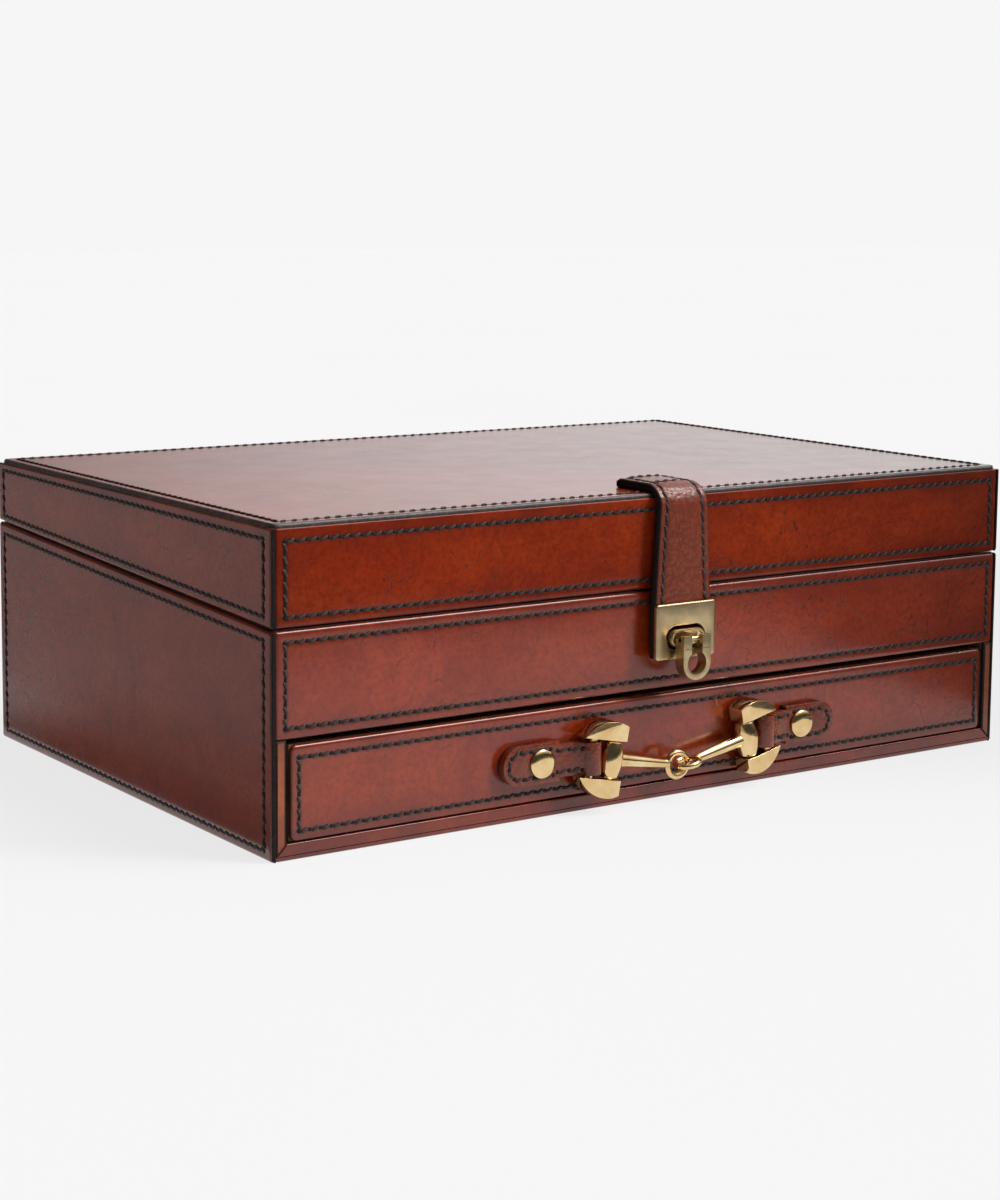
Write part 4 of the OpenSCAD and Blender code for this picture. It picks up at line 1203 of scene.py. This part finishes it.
def bail():
    """Flat loop with rounded edges, and a groove across each arm near its pin."""
    half = BAIL_T / 2
    hole_z = BAIL_LOW + BAIL_R
    top = LATCH_Z + half - BAIL_TOP_CUT
    meet = degrees(acos(BAIL_SLOT / BAIL_HOLE_R))
    front, back = BAIL_OUT + half, BAIL_OUT - half
    layers = ((front, top), (front - half * 0.8, top), (back, top - half * 0.8))
    rings = []
    for out, head in layers:
        outer = ([(LATCH_X - BAIL_R, head)] + arc(LATCH_X, hole_z, BAIL_R, 180, 360, 40)
                 + [(LATCH_X + BAIL_R, head)])
        inner = ([(LATCH_X - BAIL_SLOT, head)]
                 + arc(LATCH_X, hole_z, BAIL_HOLE_R, 180 - meet, 360 + meet, 40)
                 + [(LATCH_X + BAIL_SLOT, head)])
        rings.append([front_turn(x, z, out) for x, z in outer + inner[::-1]])
    n = len(rings[0])
    verts = [p for ring in rings for p in ring]
    faces = grid_faces(len(rings), n)
    last = (len(rings) - 1) * n
    for i in range(n // 2 - 1):
        faces.append((i, i + 1, n - 2 - i, n - 1 - i))
        faces.append((last + i + 1, last + i, last + n - 1 - i, last + n - 2 - i))
    obj = soften(solid("bail_dressed", verts, faces, (LATCH_BRASS,)), 0.4)
    groove_z = LATCH_Z - half - BAIL_GROOVE_DOWN
    for side in (-1, 1):
        x0, x1 = sorted((LATCH_X + side * 1.0, LATCH_X + side * (BAIL_R + 1)))
        cut(obj, *box_shape((x0, -HALF_D - front - 1, groove_z - BAIL_GROOVE_HALF),
                            (x1, -HALF_D - front + BAIL_GROOVE_DEPTH,
                             groove_z + BAIL_GROOVE_HALF)))
    mark_sharp(obj, 45)
    stand_in(obj, "bail")


def latch():
    strap()
    eyelet_plate()
    lock_base()
    bail()
    dress("bail_pin", 0.15, 2)
    face_y = -HALF_D - BASE_T
    screw_heads("lock_screws_dressed", "lock_screws",
                [(LATCH_X + x, face_y, LATCH_Z) for x in (-LOCK_SCREW_X, LOCK_SCREW_X)],
                -1, LOCK_SCREW_R, -low("lock_screws")[1] - HALF_D - BASE_T)


# ------------------------------------------------------------------ bit pull
BAR_X = 38.8
PULL_Z = middle("left_pull_tab", 2)
BIT_TILT = 10.5
BIT_OUT = 5.4
SHANK_OFF = 8.5
ARM_SLOPE = 3.0
BARREL_R = 4.35
BARREL_END_R = 3.3
BARREL_HALF = 6.35
EYE_R = 4.2
EYE_WIRE = 1.05
HALF_EYE = 2.3
TAB_T = 3.6
TAB_IN_X = 50.7
TAB_STITCH = 2.3
LOOP_STITCH = 3.7
RIVET_X = 57.9
SHANK_X = BAR_X - SHANK_OFF * cos(radians(BIT_TILT))
ARM_LEN = (SHANK_X - HALF_EYE) / cos(radians(BIT_TILT)) / cos(radians(ARM_SLOPE))


def bit_frame(side):
    """Matrix of a half of the bit, drawn with its swing bar on Z and its shank towards -X."""
    return (Matrix.Scale(side, 4, (1, 0, 0)) @ Matrix.Translation((BAR_X, -HALF_D - BIT_OUT, PULL_Z))
            @ turned(-BIT_TILT, "Y"))


def arm_piece(side, name, flat_eye):
    """Barrel on the shank, cannon and eye. flat_eye lays the eye flat and not upright."""
    turn = (bit_frame(side) @ Matrix.Translation((-SHANK_OFF, 0, 0)) @ turned(ARM_SLOPE, "Z"))
    barrel = [(0, -BARREL_HALF), (BARREL_END_R - 0.5, -BARREL_HALF),
              (BARREL_END_R - 0.12, -BARREL_HALF + 0.14), (BARREL_END_R, -BARREL_HALF + 0.5)]
    for t in spread(21)[1:-1]:
        swell = (BARREL_R - BARREL_END_R) * cos(pi / 2 * t)
        barrel.append((BARREL_END_R + swell, t * (BARREL_HALF - 0.5)))
    barrel += [(r, -z) for r, z in reversed(barrel[:4])]
    reach = ARM_LEN - EYE_R
    root = BARREL_R + 0.4
    cannon = [(0, BARREL_R - 1.2), (2.55, BARREL_R - 1.2), (2.5, root)]
    for i in range(1, 13):
        t = i / 12
        cannon.append((2.4 - 0.95 * t, root + (reach - root) * t))
    cannon += [(1.30, reach + 0.35), (0, reach + 0.5)]
    stand = turn @ Matrix.Translation((-ARM_LEN, 0, 0))
    if not flat_eye:
        stand = stand @ turned(90, "X")
    parts = []
    for part, (verts, faces), matrix in (("barrel", lathe(barrel, 48), turn),
                                         ("cannon", lathe(cannon, 32), turn @ turned(-90, "Y")),
                                         ("eye", torus(EYE_R, EYE_WIRE, 56, 20), stand)):
        parts.append(solid(part, moved(verts, matrix), faces, (BIT_BRASS,), 60))
    stand_in(join(f"{name}_dressed", parts), name)


def tab(side, name):
    """Round ended leather tab, its loop round the swing bar, and its stitching."""
    obj = soften(copy_node(name, f"{name}_dressed"), 0.75, 3, 40)
    tree = BVHTree.FromObject(obj, bpy.context.evaluated_depsgraph_get())

    def from_front(x, z):
        return tree.ray_cast(Vector((x, -0.2, z)), Vector((0, 1, 0)))

    rims = []
    for v in obj.data.vertices:
        front = from_front(v.co.x, v.co.z)[0]
        facing = front is not None and abs(front.y - v.co.y) < 0.00012
        out = -HALF_D - v.co.y / MM
        rims.append(0.0 if facing and out > TAB_T - 0.25 else 1.0)
    paint(obj, rim=rims)
    stand_in(obj, name)
    tip_r = (high(name)[2] - low(name)[2]) / 2
    tip_x = max(abs(low(name)[0]), abs(high(name)[0])) - tip_r
    r = tip_r - TAB_STITCH
    lines = [[(TAB_IN_X + 2.5, PULL_Z - r)] + arc(tip_x, PULL_Z, r, -90, 90, 16)
             + [(TAB_IN_X + 2.5, PULL_Z + r)]]
    for z in (PULL_Z - LOOP_STITCH, PULL_Z + LOOP_STITCH):
        lines.append([(TAB_IN_X + 1.0, z), (BAR_X + 2.5, z)])
    threads = Stitches(f"{name}_stitching", "drawer", "strap_leather")
    for line in lines:
        points, ups = [], []
        for (x0, z0), (x1, z1) in zip(line, line[1:]):
            cuts = max(1, int(hypot(x1 - x0, z1 - z0) / 1.2))
            for k in range(cuts):
                x = side * (x0 + (x1 - x0) * k / cuts)
                hit, normal, _, _ = from_front(x * MM, (z0 + (z1 - z0) * k / cuts) * MM)
                if hit:
                    points.append(hit / MM)
                    ups.append(normal)
        threads.row(points, ups)
    threads.done()


def bit_pull():
    for side, name in ((-1, "left"), (1, "right")):
        dress(f"{name}_cheek", 0.7, 4, 30)
        arm_piece(side, f"{name}_arm", side > 0)
        tab(side, f"{name}_pull_tab")
    head_h = -low("pull_rivets")[1] - HALF_D - TAB_T
    head_r = high("pull_rivets")[0] - RIVET_X
    dome = [(0, -0.6), (1.2, -0.6), (head_r - 0.5, -0.05), (head_r - 0.12, 0.03), (head_r, 0.28)]
    for i in range(1, 10):
        a = radians(90 * i / 10)
        dome.append((head_r * cos(a) ** 0.85, 0.28 + (head_h - 0.28) * sin(a) ** 0.8))
    dome.append((0, head_h))
    start = -HALF_D - TAB_T + 0.5
    length = high("rivet_washers")[1] + 0.2 - start
    shank = [(0, 0), (1.3, 0), (1.3, length), (0, length)]
    shape = ([], [])
    for side in (-1, 1):
        for profile, steps, y, lean in ((dome, 48, -HALF_D - TAB_T, 90), (shank, 24, start, -90)):
            verts, faces = lathe(profile, steps)
            stand = Matrix.Translation((side * RIVET_X, y, PULL_Z)) @ turned(lean, "X")
            gather(shape, moved(verts, stand), faces)
    stand_in(solid("pull_rivets_dressed", *shape, (BIT_BRASS,), 50), "pull_rivets")
    dress("rivet_washers", 0.2, 2)


# ------------------------------------------------------------------ inside and hinges
GLIDE_CLEARANCE = 0.1


def interior():
    for node in ("tray_long_divider", "tray_cross_dividers", "drawer_dividers"):
        dress(node, 0.9, 4, 40)
    boards = [node for node, slot in NODE_SLOT.items() if slot == "board"]
    for node in ("tray_floor_lining", "tray_wall_lining", "drawer_lining", "lid_wall_lining",
                 *boards):
        dress(node, 0.25, 2, 40)
    glides = dress("drawer_glides", 0.25, 2, 40)
    half_up = middle("drawer_glides", 2) * MM
    for vertex in glides.data.vertices:
        if vertex.co.z > half_up:
            vertex.co.z -= GLIDE_CLEARANCE * MM
    ring_rolls()
    lid_pad()
    seam_rim("body", BODY_FRONT, 1, "case")
    seam_rim("lid", LID_FRONT, -1, "lid")


ROLL_COUNT = 6
ROLL_GAP = 1.4
ROLL_ROWS = 43
ROLL_SIDES = 32
ROLL_POWER = 0.72


def ring_rolls():
    """Six stuffed rolls, each squeezed a little by its neighbours, with a seam on top."""
    lo, hi = span("ring_rolls")
    mid_y, mid_z = middle("ring_rolls", 1), middle("ring_rolls", 2)
    width = (hi[0] - lo[0] - ROLL_GAP * (ROLL_COUNT - 1)) / ROLL_COUNT
    height = hi[2] - lo[2]
    for k in range(ROLL_COUNT):
        cx = lo[0] + width / 2 + k * (width + ROLL_GAP)
        verts = []
        for t in spread(ROLL_ROWS):
            y = mid_y + t * (hi[1] - lo[1]) / 2
            end = (1 - abs(t) ** 14) ** 0.42 if abs(t) < 1 else 0.0
            sag = min(1.0, 1 + 0.010 * sin(t * 9 + k * 1.7) + 0.006 * sin(t * 23 + k))
            size = (0.62 + 0.38 * end) * sag
            for a, c, s in circle(ROLL_SIDES):
                px = copysign(abs(c) ** ROLL_POWER, c) * width / 2 * size
                pz = copysign(abs(s) ** ROLL_POWER, s) * height / 2 * size
                seam = 0.5 * exp(-((a - pi / 2) / 0.12) ** 2)
                if s < 0:
                    pz = max(pz, -height / 2 + 0.05)
                verts.append((cx + px, y, mid_z + pz - seam))
        faces = grid_faces(ROLL_ROWS, ROLL_SIDES) + end_caps(ROLL_ROWS, ROLL_SIDES)
        obj = solid(f"ring_roll_{k + 1}", verts, faces, (SUEDE,), 70)
        stand_in(obj, "ring_rolls")


PAD_POINTS = (97, 65)
PAD_SHOULDER = 5.0
PAD_LINE_IN = 13
PAD_LINE_W = 1.6


def lid_pad():
    """Padded lining of the lid, crowned between its edges with a tacked line round it."""
    lo, hi = span("lid_pad")
    nx, ny = PAD_POINTS
    mid_x, mid_y = middle("lid_pad", 0), middle("lid_pad", 1)
    half_x, half_y = (hi[0] - lo[0]) / 2, (hi[1] - lo[1]) / 2
    depth = hi[2] - lo[2]
    spots = [(mid_x + s * half_x, mid_y + t * half_y) for t in spread(ny) for s in spread(nx)]
    verts = []
    for x, y in spots:
        edge = min(half_x - abs(x - mid_x), half_y - abs(y - mid_y))
        puff = 1 - exp(-edge / PAD_SHOULDER)
        line = 0.55 * exp(-((edge - PAD_LINE_IN) / PAD_LINE_W) ** 2)
        soft = 0.25 * sin(x * 0.09 + 1) * sin(y * 0.11)
        drop = 2.2 + (depth - 2.6) * max(0.0, puff - line) - soft * puff * 0.6
        verts.append((x, y, hi[2] - drop))
    verts += [(x, y, hi[2]) for x, y in spots]
    faces = grid_faces(ny, nx, closed=False)
    top = nx * ny
    faces += [tuple(top + i for i in reversed(face)) for face in faces]
    loop = border_loop(nx, ny)
    faces += [(a, b, top + b, top + a) for a, b in zip(loop, loop[1:] + loop[:1])]
    obj = solid("lid_pad_dressed", verts, faces, (SUEDE,))
    stand_in(obj, "lid_pad")


RIM_T = 0.25
RIM_CHAMFER = 0.12


def seam_rim(name, front, sign, body):
    """Thin leather on the wall edges that meet at the seam, burnished black all over; its black also
    paints the shade of the seam gap.
    """
    slope = (BODY_BACK - BODY_FRONT) / (2 * HALF_D)
    verts = []
    for lift, shrink in ((0.0, 0.0), (RIM_T, RIM_CHAMFER)):
        for half_x, half_y in ((SKIN_X - shrink, HALF_D - SKIN - shrink),
                               (IN_X - shrink, IN_Y - shrink)):
            for x, y in ((-half_x, -half_y), (half_x, -half_y), (half_x, half_y), (-half_x, half_y)):
                verts.append((x, y, front + (y + HALF_D) * slope + sign * lift))
    faces = []
    for a in range(4):
        b = (a + 1) % 4
        faces += [(8 + a, 8 + b, 12 + b, 12 + a), (a, 4 + a, 4 + b, b), (a, b, 8 + b, 8 + a),
                  (4 + a, 12 + a, 12 + b, 4 + b)]
    obj = new_object(f"{name}_seam_rim", verts, faces, (LEATHER,), smooth=False)
    fix_normals(obj)
    # Rim value 1 everywhere: the black rim colour also paints the shade of the seam gap.
    paint(obj, rim=[1.0] * len(verts))
    place(obj, body, "cover_leather")


HINGE_W = 38.0
LEAF_T = 1.2
SCREWS_ACROSS = 3


def hinges():
    for node in ("hinge_lower_leaves", "hinge_upper_leaves"):
        dress(node, 0.22, 2, 40)
    dress("hinge_pins", 0.2, 2, 40)
    pitch = HINGE_W / SCREWS_ACROSS
    for node in ("hinge_lower_screws", "hinge_upper_screws"):
        lo, hi = span(node)
        r = (hi[2] - lo[2]) / 2
        mid_x = hi[0] - r - pitch
        centres = [(side * (mid_x + k * pitch), HALF_D + LEAF_T, middle(node, 2))
                   for side in (-1, 1) for k in (-1, 0, 1)]
        screw_heads(f"{node}_dressed", node, centres, 1, r, hi[1] - HALF_D - LEAF_T)


# ------------------------------------------------------------------ camera, light, floor
FLOOR_HALF = 6000
FLOOR_CELLS = 24
FLOOR_Z = -0.05
FLOOR_GLOW = 0.778
BACKDROP = 0.922
SKY_BASE = 0.06
# Direction, cosines where the light starts and is full, and its strength
SKY_LOBES = (((0.82, 0.57, 0.12), 0.76, 0.99, 0.95), ((0.42, -0.15, 0.9), 0.50, 0.95, 1.05),
             ((0.46, -0.32, 0.83), 0.95, 0.985, 10.5))
SUN_FROM = (0.62, -0.55, 0.56)
SUN_POWER = 1.82
SUN_ANGLE = 10
SHADE_FROM_X = 84
SHADE_DISTANCE = 520
SHADE_SIZE = 600
FLAG_Z = 0.6
FLAG_Y = (-300, 6000)
# Name, nearest and farthest x, and tone of the cards on the left
LEFT_FLAGS = (("near", -166, -205, 0.56), ("middle", -205, -270, 0.33),
              ("far", -270, -6000, 0.25))
FRONT_TONE = 0.012
FRONT_FLAG = [(-1500, -2500), (2200, -2500), (2200, -110), (195, -110), (245, -400),
              (-1500, -400)]
CAMERA_AT = (-525.99, -760.16, 213.59)
CAMERA_AZ = -34.659
CAMERA_EL = 6.945
CAMERA_ROLL = 0.507
FOCAL_PX = 2429.7
AXIS_PX_Y = 480


def camera():
    data = bpy.data.cameras.new("camera")
    data.sensor_width = 36.0
    data.sensor_fit = "AUTO"
    data.lens = FOCAL_PX * data.sensor_width / max(PHOTO_W, PHOTO_H)
    data.shift_y = (AXIS_PX_Y - PHOTO_H / 2) / max(PHOTO_W, PHOTO_H)
    obj = linked("camera", data)
    az, el = radians(CAMERA_AZ), radians(CAMERA_EL)
    back = Vector((sin(az) * cos(el), -cos(az) * cos(el), sin(el)))
    right = Vector((0, 0, 1)).cross(back).normalized()
    up = back.cross(right)
    roll = radians(CAMERA_ROLL)
    x = right * cos(roll) + up * sin(roll)
    turn = Matrix((x, back.cross(x), back)).transposed().to_4x4()
    obj.matrix_world = Matrix.Translation(Vector(CAMERA_AT) * MM) @ turn
    bpy.context.scene.camera = obj


def floor():
    material = Nodes("pale_floor")
    tone = material.mix(material.noise(3, 2), (0.10, 0.10, 0.10), (0.11, 0.11, 0.11))
    mat = material.set(Base_Color=tone, Roughness=0.9, Emission_Color=(1.0, 1.0, 1.0),
                       Emission_Strength=FLOOR_GLOW, Specular_IOR_Level=0.0)
    count = FLOOR_CELLS + 1
    lines = [-FLOOR_HALF + 2 * FLOOR_HALF * i / FLOOR_CELLS for i in range(count)]
    verts = [(x, y, FLOOR_Z) for y in lines for x in lines]
    new_object("studio_floor", verts, grid_faces(count, count, closed=False), (mat,))


def flag(name, outline, tone):
    """Dark card that only shows in reflections, as a photographer's flag does."""
    mat = Nodes(f"{name}_card").set(Base_Color=(tone, tone, tone), Roughness=0.8)
    verts = [(x, y, FLAG_Z) for x, y in outline]
    obj = new_object(name, verts, [tuple(range(len(verts)))], (mat,))
    obj.visible_camera = obj.visible_diffuse = obj.visible_shadow = False


def flags():
    flag("front_flag", FRONT_FLAG, FRONT_TONE)
    for name, near, far, tone in LEFT_FLAGS:
        flag(f"left_flag_{name}", [(far, FLAG_Y[0]), (near, FLAG_Y[0]), (near, FLAG_Y[1]),
                                   (far, FLAG_Y[1])], tone)


def sun(name, direction, strength, angle):
    """Key light. Reflections show the small bright lobe of the sky in its place."""
    data = bpy.data.lights.new(name, "SUN")
    data.energy = strength
    data.angle = radians(angle)
    obj = linked(name, data)
    obj.rotation_euler = (-Vector(direction)).to_track_quat("-Z", "Y").to_euler()
    obj.visible_glossy = False


def world_lobe(n, direction, start, end, strength):
    """Soft patch of light in the sky around a direction."""
    aim = n.add("ShaderNodeVectorMath", {0: n.place, 1: Vector(direction).normalized()},
                operation="DOT_PRODUCT")
    inputs = {"Value": aim.outputs["Value"], "From Min": start, "From Max": end,
              "To Max": strength}
    return n.add("ShaderNodeMapRange", inputs, interpolation_type="SMOOTHSTEP").outputs["Result"]


def studio():
    """White studio: lit backdrop to the back right, soft light from above, key on the right."""
    scene = bpy.context.scene
    scene.view_settings.view_transform = "Standard"
    scene.view_settings.look = "None"
    scene.world = bpy.data.worlds.new("studio")
    n = Nodes("studio", scene.world)
    light = SKY_BASE
    for lobe in SKY_LOBES:
        light = n.math("ADD", light, world_lobe(n, *lobe))
    seen = n.add("ShaderNodeLightPath").outputs["Is Camera Ray"]
    n.set(Color=(1.0, 1.0, 1.0), Strength=n.mix(seen, light, BACKDROP, "FLOAT"))
    sun("key", SUN_FROM, SUN_POWER, SUN_ANGLE)


def shade_card():
    """Card towards the key light that softly shades the right hand end of the case."""
    toward = Vector(SUN_FROM).normalized()
    across = Vector((0, 0, 1)).cross(toward).normalized()
    up = toward.cross(across)
    edge = Vector((SHADE_FROM_X, -HALF_D, TOP_Z / 2)) + toward * SHADE_DISTANCE
    rise, reach = up * (SHADE_SIZE / 2), across * SHADE_SIZE
    corners = (edge - rise, edge + reach - rise, edge + reach + rise, edge + rise)
    mat = Nodes("shade_card_black").set(Base_Color=(0.02, 0.02, 0.02), Roughness=0.9)
    obj = new_object("shade_card", corners, [(0, 1, 2, 3)], (mat,))
    obj.visible_camera = obj.visible_glossy = obj.visible_diffuse = False


# ------------------------------------------------------------------ the scene
camera()
studio()
floor()
flags()
shade_card()
leather_skins()
edge_strips()
latch()
bit_pull()
interior()
hinges()

for node, obj in frame["nodes"].items():
    obj.data.materials.clear()
    obj.data.materials.append(SLOT_MATERIALS[NODE_SLOT[node]])
